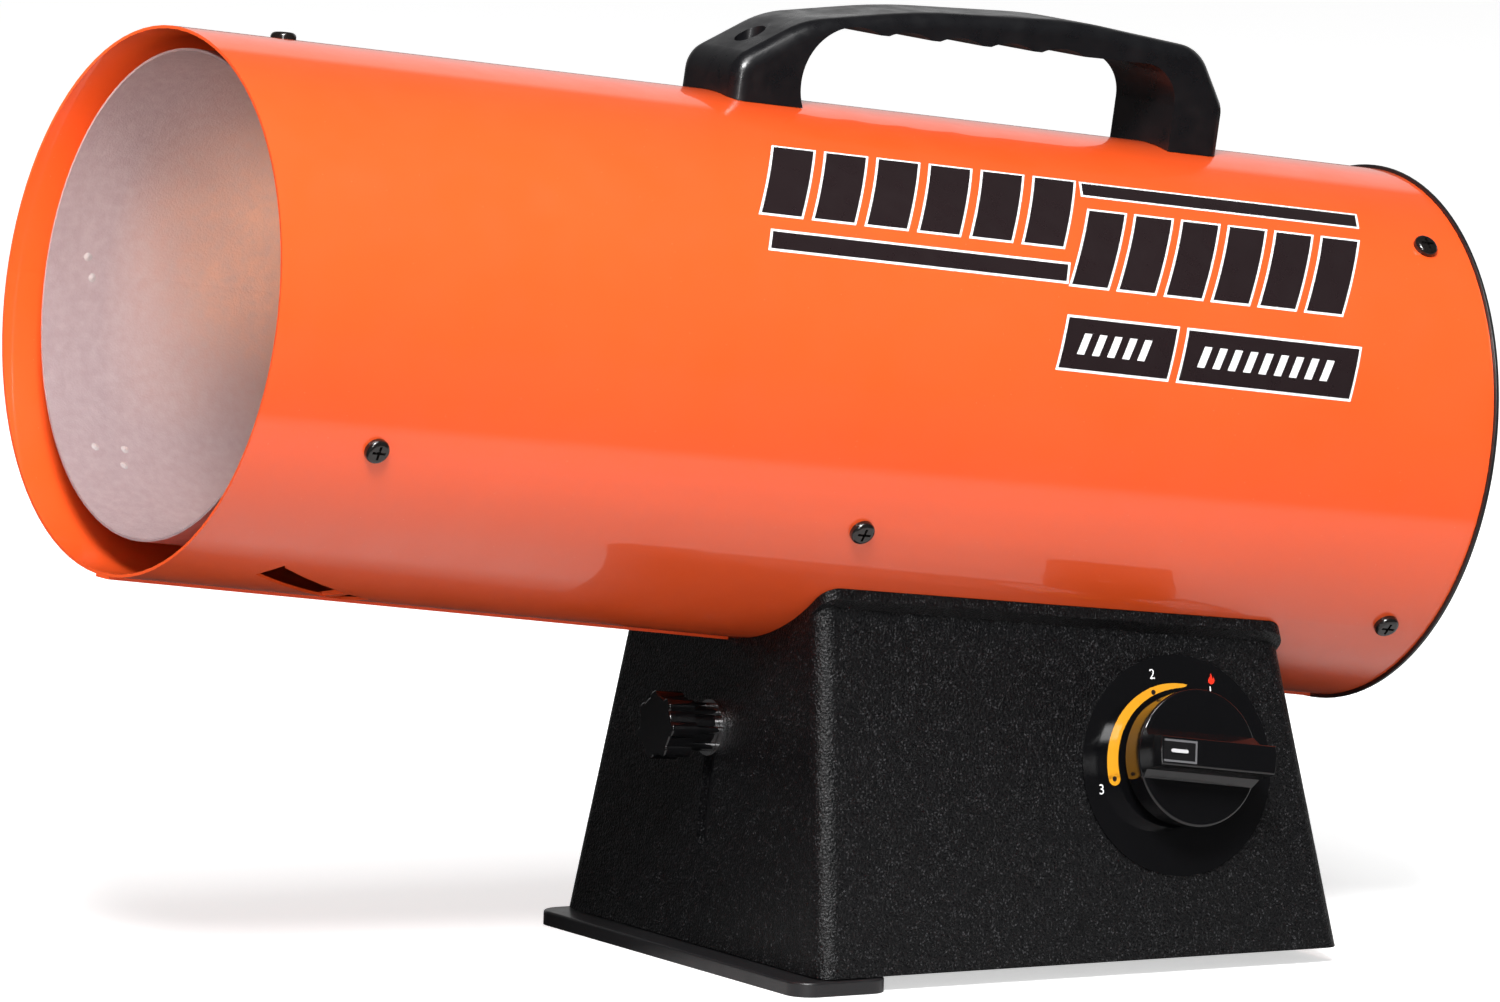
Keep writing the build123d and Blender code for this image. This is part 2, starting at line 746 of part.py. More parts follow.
bracket_front = burner_plate_axial + plate_wall
bracket_arm = bracket_half_span - bracket_wall
with BuildPart() as burner_bracket:
    with BuildSketch(chamber_plane.offset(elbow_rear)):
        Rectangle(2 * bracket_half_span, bracket_width)
        Circle(screw_radius + hole_gap, mode=Mode.SUBTRACT)
    extrude(amount=bracket_wall)
    for side in (-1, 1):
        with BuildSketch(chamber_plane.offset(bracket_front)):
            with Locations((side * (bracket_half_span - bracket_wall / 2), 0)):
                Rectangle(bracket_wall, bracket_width)
        extrude(amount=elbow_rear - bracket_front)
        with BuildSketch(chamber_plane.offset(bracket_front)):
            with Locations((side * (bracket_arm + bracket_foot / 2), 0)):
                Rectangle(bracket_foot, bracket_width)
        extrude(amount=bracket_wall)
save(burner_bracket.part, "burner_bracket")

with BuildPart() as bracket_screw:
    with Locations(chamber_plane.offset(elbow_rear + bracket_wall)):
        add(pan_screw(screw_head_radius, screw_head_height, screw_radius, elbow_size / 3))
save(bracket_screw.part, "bracket_screw")


def probe_plane(name, axial):
    """Plane square to the tube at an igniter or thermocouple place."""
    turn = radians(probe_places[name])
    return Plane(
        origin=in_tube(probe_circle * cos(turn), probe_circle * sin(turn) + chamber_lift, axial),
        x_dir=tube_plane.x_dir,
        z_dir=tube_plane.z_dir,
    )


insulator_front = burner_back - insulator_length * 0.55
with BuildPart() as igniter_insulator:
    with BuildSketch(probe_plane("igniter", insulator_front)):
        Circle(insulator_radius)
    extrude(amount=insulator_length)
    with BuildSketch(probe_plane("igniter", burner_plate_axial + plate_wall + seat_gap)):
        Circle(insulator_radius * 1.6)
    extrude(amount=insulator_radius)
    with BuildSketch(probe_plane("igniter", insulator_front)):
        Circle(rod_radius + seat_gap)
    extrude(amount=insulator_length, mode=Mode.SUBTRACT)
save(igniter_insulator.part, "igniter_insulator")

rod_front = insulator_front - (rod_length - insulator_length) * 0.75
with BuildPart() as igniter_rod:
    with BuildSketch(probe_plane("igniter", rod_front)):
        Circle(rod_radius)
    extrude(amount=rod_length)
save(igniter_rod.part, "igniter_rod")

thermocouple_front = burner_back - thermocouple_length * 0.7
with BuildPart() as thermocouple:
    with BuildSketch(probe_plane("thermocouple", thermocouple_front)):
        Circle(thermocouple_radius)
    extrude(amount=thermocouple_length)
    fillet(thermocouple.faces().sort_by(tube_axis)[0].edges(), thermocouple_radius * 0.8)
    with BuildSketch(probe_plane("thermocouple", burner_plate_axial + plate_wall + seat_gap)):
        RegularPolygon(2 * thermocouple_radius, 6)
    extrude(amount=2 * thermocouple_radius)
save(thermocouple.part, "thermocouple")

limit_front = burner_plate_axial + plate_wall
with BuildPart() as limit_switch:
    with BuildSketch(chamber_plane.offset(limit_front)):
        with Locations((0, air_slot_circle)):
            Circle(limit_radius)
            Rectangle(3 * limit_radius, limit_radius)
    extrude(amount=limit_flange)
    with BuildSketch(chamber_plane.offset(limit_front)):
        with Locations((0, air_slot_circle)):
            Circle(limit_radius)
    extrude(amount=limit_height)
    with BuildSketch(chamber_plane.offset(limit_front + limit_height)):
        with Locations((-limit_radius / 2, air_slot_circle), (limit_radius / 2, air_slot_circle)):
            Rectangle(0.8, limit_radius / 2)
    extrude(amount=limit_height)
save(limit_switch.part, "limit_switch")

# ------------------------------------------------------------------ handle
crown = (
    (0.0, 0.306, 10), (0.135, 0.718, 40), (0.365, 0.915, 250), (0.677, 1.0, 160),
    (0.9375, 0.891, 14), (1.0, 0.399, 9),
)  # along the handle and up it as shares of its length and rise, and the corner's radius
crown_points = [
    (handle_front + along * handle_length, shell_radius + above * handle_rise)
    for along, above, corner in crown
]
crown_corners = [corner for along, above, corner in crown]
handle_rear = handle_front + handle_length
gap_front = handle_front + handle_front_leg
gap_rear = handle_rear - handle_rear_leg
gap_low = shell_radius - 3 * shell_wall
grip_front_low = shell_radius + grip_rise_front
grip_rear_low = shell_radius + grip_rise_rear


def grip_low(axial):
    """Height of the grip's underside between its two ends."""
    share = (axial - gap_front) / (gap_rear - gap_front)
    return grip_front_low + share * (grip_rear_low - grip_front_low)


with BuildPart() as handle:
    with BuildSketch(side_profile) as side_outline:
        with BuildLine():
            Polyline((handle_front, gap_low), *crown_points, (handle_rear, gap_low), close=True)
        make_face()
        for point, corner in zip(crown_points, crown_corners):
            fillet(side_outline.vertices().sort_by_distance(point)[0], corner)
    extrude(amount=handle_width / 2, both=True)
    side_edges = handle.faces().filter_by(Axis.Y).edges()
    fillet(side_edges.filter_by(tube_axis, reverse=True), handle_edge_radius)
    with BuildSketch(tube_plane.offset(handle_front - 1)):
        Circle(shell_radius + seat_gap)
    extrude(amount=handle_length + 2, mode=Mode.SUBTRACT)
    with BuildSketch(side_profile):
        with BuildLine():
            Polyline(
                (gap_front, gap_low),
                (gap_front, grip_front_low),
                (gap_rear, grip_rear_low),
                (gap_rear, gap_low),
                close=True,
            )
        gap_face = make_face()
        corners = gap_face.vertices().sort_by(Axis.Y)[-2:]
        fillet(corners, grip_corner)
    extrude(amount=handle_width, both=True, mode=Mode.SUBTRACT)
    with BuildSketch(side_profile):
        for scallop in range(scallop_count):
            axial = handle_front + scallop_start + (scallop + 0.5) * scallop_pitch
            half = scallop_pitch * scallop_share / 2
            arc_radius = (half ** 2 + scallop_depth ** 2) / (2 * scallop_depth)
            with Locations((axial, grip_low(axial) + scallop_depth - arc_radius)):
                Circle(arc_radius)
    extrude(amount=handle_width, both=True, mode=Mode.SUBTRACT)
    for axial in handle_screw_axials:
        with BuildSketch(radial_plane(axial, 90, shell_radius + handle_seat_rise)):
            Circle(handle_screw_head + 2 * hole_gap)
        extrude(amount=handle_rise, mode=Mode.SUBTRACT)
        with Locations(radial_plane(axial, 90, shell_radius + handle_seat_rise)):
            Hole(handle_screw_radius + hole_gap, depth=handle_seat_rise + 1)
save(handle.part, "handle")

handle_screw_length = handle_seat_rise + 2 * shell_wall + handle_nut_height
handle_screw = pan_screw(
    handle_screw_head, screw_head_height, handle_screw_radius, handle_screw_length
)
with BuildPart() as handle_screws:
    seats = [radial_plane(axial, 90, shell_radius + handle_seat_rise) for axial in handle_screw_axials]
    with Locations(*seats):
        add(handle_screw)
save(handle_screws.part, "handle_screws")

nut_seat = shell_bore - seat_gap - handle_nut_height
with BuildPart() as handle_nuts:
    with Locations(*[radial_plane(axial, 90, nut_seat) for axial in handle_screw_axials]):
        add(hex_nut(2 * handle_screw_radius, handle_nut_height, handle_screw_radius + running_gap))
save(handle_nuts.part, "handle_nuts")


# ------------------------------------------------------------------ base housing
def housing_section(height, inset, lip=0):
    """Rounded rectangle of the leaning walls at one height, its sides moved out by a lip."""
    rise = height - housing_bottom
    front = housing_front + rise * tan(radians(front_lean)) + inset
    rear = housing_front + housing_length - rise * tan(radians(rear_lean)) - inset
    half = housing_half_width - rise * tan(radians(side_lean)) - inset + lip
    with BuildSketch(Plane.XY.offset(height)) as section:
        with Locations(((front + rear) / 2, 0)):
            RectangleRounded(rear - front, 2 * half, housing_corner - inset)
    return section.sketch


housing_top = axis_height(housing_front + housing_length)
saddle_outer = shell_radius + seat_gap
saddle_inner = saddle_outer + saddle_wall
plate_top = housing_bottom + base_plate_recess + base_plate_wall
plate_under = housing_bottom + base_plate_recess
boss_front = housing_front + boss_inset_x
boss_rear = housing_front + housing_length - boss_inset_x
boss_y = housing_half_width - boss_inset_y
boss_places = [(x, y) for x in (boss_front, boss_rear) for y in (-boss_y, boss_y)]
stud_plane = front_wall_at(stud_y, stud_z)
valve_plane = side_wall_at(dial_x, dial_z)
piezo_plane = rear_wall_at(piezo_y, piezo_z)
bushing_plane = rear_wall_at(bushing_y, bushing_z)

valve_seat = -(housing_wall + seat_gap)
port_level = valve_seat - valve_depth
outlet_port = valve_plane.from_local_coords(Vector(-port_spread, 0, port_level))
inlet_port = valve_plane.from_local_coords(Vector(port_spread, 0, port_level))
inward = -valve_plane.z_dir
inlet_plane = rear_wall_at(inlet_y, inlet_z)

with BuildPart() as housing_void:
    loft([
        housing_section(housing_bottom - 1, housing_wall),
        housing_section(housing_top, housing_wall),
    ])
    with BuildSketch(tube_plane):
        Circle(saddle_inner)
    extrude(amount=shell_length, mode=Mode.SUBTRACT)

with BuildPart() as lip_ring:
    loft([
        housing_section(housing_bottom, 0, saddle_lip),
        housing_section(housing_top, 0, saddle_lip),
    ])
    with BuildSketch(tube_plane):
        Circle(saddle_inner)
    extrude(amount=shell_length, mode=Mode.INTERSECT)

with BuildPart() as base_housing:
    loft([housing_section(housing_bottom, 0), housing_section(housing_top, 0)])
    add(lip_ring.part)
    add(housing_void.part, mode=Mode.SUBTRACT)
    with BuildSketch(Plane.XY.offset(plate_top)):
        with Locations(*boss_places):
            Circle(boss_radius)
    extrude(amount=boss_height)
    with BuildSketch(tube_plane):
        Circle(saddle_outer)
        with Locations((0, -shell_radius)):
            Rectangle(seam_width + 4 * seat_gap, 2 * seam_height + 4 * seat_gap)
    extrude(amount=shell_length, mode=Mode.SUBTRACT)
    with BuildSketch(radial_plane(pass_axial, 270, shell_radius)):
        RectangleRounded(pass_length + 2, pass_width + 2, pass_width / 6)
    extrude(amount=4 * saddle_wall, both=True, mode=Mode.SUBTRACT)
    with Locations(*saddle_screw_planes):
        Hole(screw_radius + hole_gap, depth=2 * saddle_wall)
    with Locations(*[Plane(origin=(x, y, plate_top)) for x, y in boss_places]):
        Hole(screw_radius + hole_gap, depth=base_screw_length)
    with BuildSketch(stud_plane.offset(1)):
        with Locations((0, -foot_travel / 2)):
            SlotCenterToCenter(foot_travel, 2 * (stud_radius + hole_gap), rotation=90)
    extrude(amount=-2 * housing_wall, mode=Mode.SUBTRACT)
    with Locations(valve_plane):
        Hole(bonnet_radius + hole_gap, depth=2 * housing_wall)
    with Locations(valve_plane):
        with Locations((-valve_screw_spread, 0), (valve_screw_spread, 0)):
            CounterSinkHole(
                valve_screw_radius + hole_gap,
                2 * valve_screw_radius + hole_gap,
                depth=2 * housing_wall,
                counter_sink_angle=90,
            )
    with Locations(inlet_plane):
        Hole(inlet_radius + hole_gap, depth=2 * housing_wall)
    with Locations(piezo_plane):
        Hole(piezo_radius + hole_gap, depth=2 * housing_wall)
    with Locations(bushing_plane):
        Hole(bushing_radius + hole_gap, depth=2 * housing_wall)
save(base_housing.part, "base_housing")

saddle_screw = pan_screw(screw_head_radius, screw_head_height, screw_radius, saddle_wall + 4)
with BuildPart() as saddle_screws:
    with Locations(*saddle_screw_planes):
        add(saddle_screw)
save(saddle_screws.part, "saddle_screws")

# ------------------------------------------------------------------ base plate and rear feet
tongue_room = housing_wall + tongue_wall + 2 * slide_gap
plate_front = front_wall_at(0, plate_top).from_local_coords(Vector(0, 0, -tongue_room)).X
plate_side_gap = housing_wall + 3 * seat_gap + base_plate_recess * tan(radians(side_lean))
plate_rear = housing_front + housing_length - plate_side_gap
plate_half = housing_half_width - plate_side_gap
rear_foot_x = housing_front + housing_length - rear_foot_inset
with BuildPart() as base_plate:
    with BuildSketch(Plane.XY.offset(plate_under)):
        with Locations(((plate_front + plate_rear) / 2, 0)):
            RectangleRounded(plate_rear - plate_front, 2 * plate_half, housing_corner)
        with Locations(*boss_places):
            Circle(screw_radius + hole_gap, mode=Mode.SUBTRACT)
        with Locations((rear_foot_x, -rear_foot_y), (rear_foot_x, rear_foot_y)):
            Circle(rear_foot_stem + seat_gap, mode=Mode.SUBTRACT)
    extrude(amount=base_plate_wall)
save(base_plate.part, "base_plate")

base_screw = pan_screw(screw_head_radius, screw_head_height, screw_radius, base_screw_length)
with BuildPart() as base_screws:
    with Locations(*[Plane(origin=(x, y, plate_under), z_dir=(0, 0, -1)) for x, y in boss_places]):
        add(base_screw)
save(base_screws.part, "base_screws")

with BuildPart() as rear_feet:
    for y in (-rear_foot_y, rear_foot_y):
        with BuildSketch(Plane(origin=(rear_foot_x, y, 0))):
            Circle(rear_foot_radius * 0.88)
        with BuildSketch(Plane(origin=(rear_foot_x, y, plate_under))):
            Circle(rear_foot_radius)
        loft()
        with BuildSketch(Plane(origin=(rear_foot_x, y, plate_under))):
            Circle(rear_foot_stem)
        extrude(amount=base_plate_wall + 4)
save(rear_feet.part, "rear_feet")

# ------------------------------------------------------------------ front foot and tilt clamp
tongue_face = -(housing_wall + slide_gap)
tongue_bottom = -(stud_z - foot_thickness / 2) / cos(radians(front_lean))
with BuildPart() as front_foot:
    with BuildSketch():
        RectangleRounded(foot_length, 2 * foot_half_width, foot_corner)
    extrude(amount=foot_thickness)
    fillet(front_foot.faces().sort_by(Axis.Z)[-1].edges(), 0.8)
    with BuildSketch(stud_plane.offset(tongue_face)):
        with Locations((0, (tongue_top + tongue_bottom) / 2)):
            Rectangle(tongue_width, tongue_top - tongue_bottom)
    extrude(amount=-tongue_wall)
    with Locations(stud_plane.offset(tongue_face)):
        Hole(stud_radius + running_gap, depth=2 * tongue_wall)
save(front_foot.part, "front_foot")

tongue_back = tongue_face - tongue_wall
with BuildPart() as clamp_stud:
    with BuildSketch(stud_plane.offset(tongue_back)):
        Circle(stud_radius)
    extrude(amount=stud_length - tongue_back)
    with BuildSketch(stud_plane.offset(tongue_back)):
        Circle(stud_head_radius)
    extrude(amount=-stud_head_height)
    fillet(clamp_stud.faces().sort_by(Axis(stud_plane.origin, stud_plane.z_dir))[0].edges(), 1.6)
save(clamp_stud.part, "clamp_stud")

washer_front = seat_gap + washer_thickness
with BuildPart() as clamp_washer:
    with BuildSketch(stud_plane.offset(seat_gap)):
        Circle(washer_radius)
        Circle(stud_radius + 2 * running_gap, mode=Mode.SUBTRACT)
    extrude(amount=washer_thickness)
save(clamp_washer.part, "clamp_washer")

star_back = washer_front + seat_gap
star_head_back = star_back + star_hub_length
with BuildPart() as star_knob:
    with BuildSketch(stud_plane.offset(star_back)):
        Circle(star_hub_radius)
        with PolarLocations(star_hub_radius, star_lobes):
            Circle(star_lobe_radius * 0.45)
    extrude(amount=star_hub_length)
    with BuildSketch(stud_plane.offset(star_head_back)):
        Circle(star_radius - star_lobe_radius * 0.6)
        with PolarLocations(star_radius - star_lobe_radius, star_lobes):
            Circle(star_lobe_radius)
    extrude(amount=star_head_length)
    fillet(star_knob.faces().sort_by(Axis(stud_plane.origin, stud_plane.z_dir))[-1].edges(), 0.7)
    with BuildSketch(stud_plane.offset(star_back)):
        Circle(stud_radius + running_gap)
    extrude(amount=stud_length, mode=Mode.SUBTRACT)
save(star_knob.part, "star_knob")

# ------------------------------------------------------------------ gas valve and control knob
with BuildPart() as gas_valve:
    with BuildSketch(valve_plane.offset(valve_seat)):
        RectangleRounded(valve_width, valve_height, 4)
    extrude(amount=-valve_depth)
    with BuildSketch(valve_plane.offset(valve_seat)):
        Circle(bonnet_radius)
    extrude(amount=dial_wall - valve_seat)
    with BuildSketch(valve_plane.offset(dial_wall)):
        Circle(bonnet_bore)
    extrude(amount=-(dial_wall + bonnet_depth), mode=Mode.SUBTRACT)
    with Locations(valve_plane.offset(valve_seat)):
        with Locations((-valve_screw_spread, 0), (valve_screw_spread, 0)):
            Hole(valve_screw_radius + seat_gap, depth=valve_screw_length)
save(gas_valve.part, "gas_valve")

with BuildPart() as csk_screw:
    with BuildSketch():
        Circle(2 * valve_screw_radius)
    with BuildSketch(Plane.XY.offset(-valve_screw_radius)):
        Circle(valve_screw_radius)
    loft()
    with BuildSketch():
        Circle(valve_screw_radius)
    extrude(amount=-valve_screw_length)
with BuildPart() as valve_screws:
    with Locations(valve_plane.offset(-seat_gap)):
        with Locations((-valve_screw_spread, 0), (valve_screw_spread, 0)):
            add(csk_screw.part)
save(valve_screws.part, "valve_screws")

with BuildPart() as dial_plate:
    with BuildSketch(valve_plane):
        with Locations((0, -dial_drop)):
            Circle(dial_radius)
        Circle(bonnet_radius + hole_gap, mode=Mode.SUBTRACT)
    extrude(amount=dial_wall)
save(dial_plate.part, "dial_plate")

knob_back = dial_wall + push_travel + slide_gap
with BuildPart() as valve_collar:
    with BuildSketch(valve_plane.offset(knob_back - 2 * seat_gap)):
        Circle(bonnet_bore - 2 * running_gap)
        Circle(stem_radius + running_gap, mode=Mode.SUBTRACT)
    extrude(amount=-(knob_back + collar_length))
save(valve_collar.part, "valve_collar")

spring_top = -collar_length - 3 * seat_gap - spring_wire
spring_bottom = -bonnet_depth + push_travel + seat_gap + spring_wire
spring_height = spring_top - spring_bottom
with BuildPart() as spring_coil:
    with BuildLine() as coil:
        Helix(spring_height / spring_turns, spring_height, spring_radius)
    with BuildSketch(Plane(origin=coil.line @ 0, z_dir=coil.line % 0)):
        Circle(spring_wire)
    sweep(path=coil.line, is_frenet=True)
with BuildPart() as valve_spring:
    with Locations(valve_plane.offset(spring_bottom)):
        add(spring_coil.part)
save(valve_spring.part, "valve_spring")

with BuildPart() as valve_stem:
    with BuildSketch(valve_plane.offset(-stem_inner)):
        Circle(stem_radius)
    extrude(amount=stem_inner + stem_outer)
save(valve_stem.part, "valve_stem")

bar_turn = radians(knob_bar_turn)
knob_plane = Plane(
    origin=valve_plane.origin,
    x_dir=valve_plane.x_dir * cos(bar_turn) + valve_plane.y_dir * sin(bar_turn),
    z_dir=valve_plane.z_dir,
)
bar_end = Plane(
    origin=knob_plane.origin - knob_plane.x_dir * knob_radius,
    x_dir=knob_plane.y_dir,
    z_dir=knob_plane.x_dir,
)
with BuildPart() as knob_bar:
    with BuildSketch(bar_end):
        with BuildLine():
            Polyline(
                (-knob_bar_base / 2, knob_face - knob_wall / 2),
                (-knob_bar_base / 2, knob_face),
                (-knob_bar_width / 2 - 1, knob_face + 3),
                (-knob_bar_width / 2, knob_top),
                (knob_bar_width / 2, knob_top),
                (knob_bar_width / 2 + 1, knob_face + 3),
                (knob_bar_base / 2, knob_face),
                (knob_bar_base / 2, knob_face - knob_wall / 2),
                close=True,
            )
        make_face()
    extrude(amount=2 * knob_radius)
    with BuildSketch(knob_plane):
        Circle(knob_bar_radius)
    extrude(amount=knob_top + 1, mode=Mode.INTERSECT)
    knob_axis = Axis(knob_plane.origin, knob_plane.z_dir)
    fillet(knob_bar.faces().sort_by(knob_axis)[-1].edges(), 0.8)

insert_seat = knob_top - insert_wall + seat_gap


def insert_outline(grow):
    """Plan of the insert in the bar's end, grown by a clearance."""
    with BuildSketch(knob_plane.offset(insert_seat)) as outline:
        with Locations((-insert_start - insert_length / 2, 0)):
            Rectangle(insert_length + 2 * grow, knob_bar_width - 4 * insert_inset + 2 * grow)
        Circle(knob_bar_radius - 2 * insert_inset + grow, mode=Mode.INTERSECT)
    return outline.sketch


with BuildPart() as control_knob:
    with BuildSketch(knob_plane.offset(knob_back)):
        Circle(knob_back_radius)
    with BuildSketch(knob_plane.offset(knob_face)):
        Circle(knob_radius)
    loft()
    fillet(control_knob.faces().sort_by(knob_axis)[-1].edges(), 1.0)
    with BuildSketch(knob_plane.offset(knob_back)):
        Circle(knob_back_radius - knob_wall)
        Circle(stem_radius + knob_hub_wall, mode=Mode.SUBTRACT)
    extrude(amount=knob_face - knob_wall - knob_back, mode=Mode.SUBTRACT)
    add(knob_bar.part)
    with BuildSketch(knob_plane.offset(knob_back)):
        Circle(stem_radius + running_gap)
    extrude(amount=stem_outer + seat_gap - knob_back, mode=Mode.SUBTRACT)
    extrude(insert_outline(seat_gap / 2), amount=knob_wall, mode=Mode.SUBTRACT)
save(control_knob.part, "control_knob")

with BuildPart() as knob_insert:
    extrude(insert_outline(0), amount=insert_wall)
    with BuildSketch(knob_plane.offset(insert_seat + insert_wall)):
        with Locations((-insert_start - insert_length / 2, 0)):
            SlotOverall(dash_length, dash_width)
    extrude(amount=insert_inset)
save(knob_insert.part, "knob_insert")

# ------------------------------------------------------------------ gas lines
gas_tube_points = (
    outlet_port,
    outlet_port + inward * port_run,
    in_tube(0, -saddle_inner - tube_drop, elbow_middle),
    in_tube(0, chamber_lift - elbow_size / 2 - seat_gap, elbow_middle),
)
gas_tube = tube_along(gas_tube_points, tube_bend, tube_radius)
save(gas_tube, "gas_tube")

inlet_tube_points = (
    inlet_port,
    inlet_port + inward * port_run,
    inlet_plane.from_local_coords(Vector(0, 0, -housing_wall - inlet_run)),
    inlet_plane.from_local_coords(Vector(0, 0, -housing_wall)),
)
save(tube_along(inlet_tube_points, tube_bend, tube_radius), "inlet_tube")

tube_nut = hex_nut(nut_radius, nut_length, tube_radius + seat_gap)
with BuildPart() as tube_nuts:
    with Locations(
        Plane(origin=outlet_port, x_dir=(1, 0, 0), z_dir=inward),
        Plane(origin=inlet_port, x_dir=(1, 0, 0), z_dir=inward),
    ):
        add(tube_nut)
save(tube_nuts.part, "tube_nuts")

with BuildPart() as gas_inlet:
    with BuildSketch(inlet_plane.offset(seat_gap)):
        RegularPolygon(inlet_hex_radius, 6)
    extrude(amount=inlet_hex)
    with BuildSketch(inlet_plane.offset(-inlet_tail)):
        Circle(inlet_radius)
    extrude(amount=inlet_tail + seat_gap + inlet_hex + inlet_thread)
    chamfer(gas_inlet.faces().sort_by(Axis(inlet_plane.origin, inlet_plane.z_dir))[-1].edges(), 1.5)
    with BuildSketch(inlet_plane.offset(-inlet_tail)):
        Circle(tube_radius + seat_gap)
    extrude(amount=inlet_tail + inlet_hex + 2 * inlet_thread, mode=Mode.SUBTRACT)
save(gas_inlet.part, "gas_inlet")

with BuildPart() as inlet_nut:
    nut_level = inlet_plane.offset(-housing_wall - seat_gap - inlet_nut_wall)
    with Locations(Plane(nut_level.origin, nut_level.y_dir, nut_level.z_dir)):
        add(hex_nut(inlet_hex_radius, inlet_nut_wall, inlet_radius + running_gap))
save(inlet_nut.part, "inlet_nut")

# ------------------------------------------------------------------ piezo igniter
shoulder = housing_wall + seat_gap
piezo_mouth = piezo_nut_wall + 2 * seat_gap
with BuildPart() as piezo_body:
    with BuildSketch(piezo_plane.offset(-piezo_length)):
        Circle(piezo_radius)
    extrude(amount=piezo_length + piezo_mouth)
    with BuildSketch(piezo_plane.offset(-shoulder)):
        Circle(piezo_radius + 2.5)
    extrude(amount=-piezo_nut_wall)
    with BuildSketch(piezo_plane.offset(piezo_mouth)):
        Circle(button_radius + 2 * seat_gap)
    extrude(amount=-(piezo_mouth + button_tail + button_travel + slide_gap), mode=Mode.SUBTRACT)
    with BuildSketch(piezo_plane.offset(-piezo_length)):
        Circle(lead_radius * 1.6)
    extrude(amount=-button_tail)
save(piezo_body.part, "piezo_body")

with BuildPart() as piezo_nut:
    with BuildSketch(piezo_plane.offset(seat_gap)):
        Circle(piezo_nut_radius)
        with PolarLocations(piezo_nut_radius + 0.6, 24):
            Circle(1.0, mode=Mode.SUBTRACT)
        Circle(piezo_radius + running_gap, mode=Mode.SUBTRACT)
    extrude(amount=piezo_nut_wall)
save(piezo_nut.part, "piezo_nut")

with BuildPart() as piezo_button:
    with BuildSketch(piezo_plane.offset(-button_tail)):
        Circle(button_radius)
    extrude(amount=button_tail + button_rise)
    piezo_axis = Axis(piezo_plane.origin, piezo_plane.z_dir)
    fillet(piezo_button.faces().sort_by(piezo_axis)[-1].edges(), 1.2)
save(piezo_button.part, "piezo_button")

# ------------------------------------------------------------------ cord bushing
with BuildPart() as cord_bushing:
    with BuildSketch(bushing_plane.offset(seat_gap)):
        Circle(bushing_flange)
    extrude(amount=bushing_flange_wall)
    fillet(cord_bushing.faces().sort_by(Axis(bushing_plane.origin, bushing_plane.z_dir))[-1].edges(), 1.5)
    with BuildSketch(bushing_plane.offset(-shoulder)):
        Circle(bushing_radius)
    extrude(amount=shoulder + bushing_flange_wall)
    with BuildSketch(bushing_plane.offset(-shoulder)):
        Circle(bushing_flange)
    extrude(amount=-bushing_flange_wall)
    with BuildSketch(bushing_plane.offset(-shoulder - bushing_flange_wall)):
        Circle(bushing_bore)
    extrude(amount=shoulder + 3 * bushing_flange_wall, mode=Mode.SUBTRACT)
save(cord_bushing.part, "cord_bushing")

# ------------------------------------------------------------------ leads
lead_spread = pass_width / 3
lead_level = -saddle_inner - lead_drop
probe_x = probe_circle * cos(radians(probe_places["igniter"]))
probe_y = probe_circle * sin(radians(probe_places["igniter"])) + chamber_lift
piezo_tail = piezo_plane.from_local_coords(Vector(0, 0, -piezo_length - button_tail))
ignition_points = (
    piezo_tail,
    piezo_tail - piezo_plane.z_dir * lead_run,
    in_tube(lead_spread, lead_level, elbow_middle),
    in_tube(lead_spread, probe_y, elbow_middle),
    in_tube(probe_x, probe_y, rod_front + rod_length + seat_gap),
)
save(tube_along(ignition_points, lead_bend, lead_radius), "ignition_lead")

thermocouple_rear = thermocouple_front + thermocouple_length
lead_port = valve_plane.from_local_coords(Vector(-valve_width / 3, valve_height / 4, port_level))
thermocouple_points = (
    lead_port,
    lead_port + inward * lead_run,
    in_tube(-lead_spread, lead_level, elbow_middle),
    in_tube(-lead_spread, probe_y, elbow_middle),
    in_tube(-probe_x, probe_y, thermocouple_rear + seat_gap),
)
save(tube_along(thermocouple_points, lead_bend, lead_radius), "thermocouple_lead")
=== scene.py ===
"""Looks of the portable propane heater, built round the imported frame. Metres, row frame."""

import json
from math import cos, pi, radians, sin

import bpy
from mathutils import Matrix, Vector


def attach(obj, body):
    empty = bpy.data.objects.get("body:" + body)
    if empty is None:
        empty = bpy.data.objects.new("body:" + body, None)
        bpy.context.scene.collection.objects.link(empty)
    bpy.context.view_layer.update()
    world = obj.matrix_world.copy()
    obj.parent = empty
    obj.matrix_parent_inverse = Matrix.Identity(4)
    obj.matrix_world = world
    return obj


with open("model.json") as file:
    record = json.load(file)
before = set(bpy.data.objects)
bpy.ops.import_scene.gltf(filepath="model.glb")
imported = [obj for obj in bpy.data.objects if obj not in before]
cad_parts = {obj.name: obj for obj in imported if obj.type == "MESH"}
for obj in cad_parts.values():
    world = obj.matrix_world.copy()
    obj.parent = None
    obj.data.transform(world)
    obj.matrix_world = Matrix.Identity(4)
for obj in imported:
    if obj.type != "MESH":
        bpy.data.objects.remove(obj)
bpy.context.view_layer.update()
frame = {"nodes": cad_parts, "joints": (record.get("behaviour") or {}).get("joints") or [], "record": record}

MM = 0.001
ORIGIN = Vector((0, 0, 0))

# ------------------------------------------------------------------ the tube's own frame
TILT = radians(7.25)
MOUTH = Vector((-0.2225, 0.0, 0.2251))
ALONG = Vector((cos(TILT), 0.0, -sin(TILT)))
ABOVE = Vector((sin(TILT), 0.0, cos(TILT)))
SHELL_RADIUS = 89.0
CHAMBER_BORE = 78.8
CHAMBER_LIFT = 2.9  # the chamber's axis above the shell's


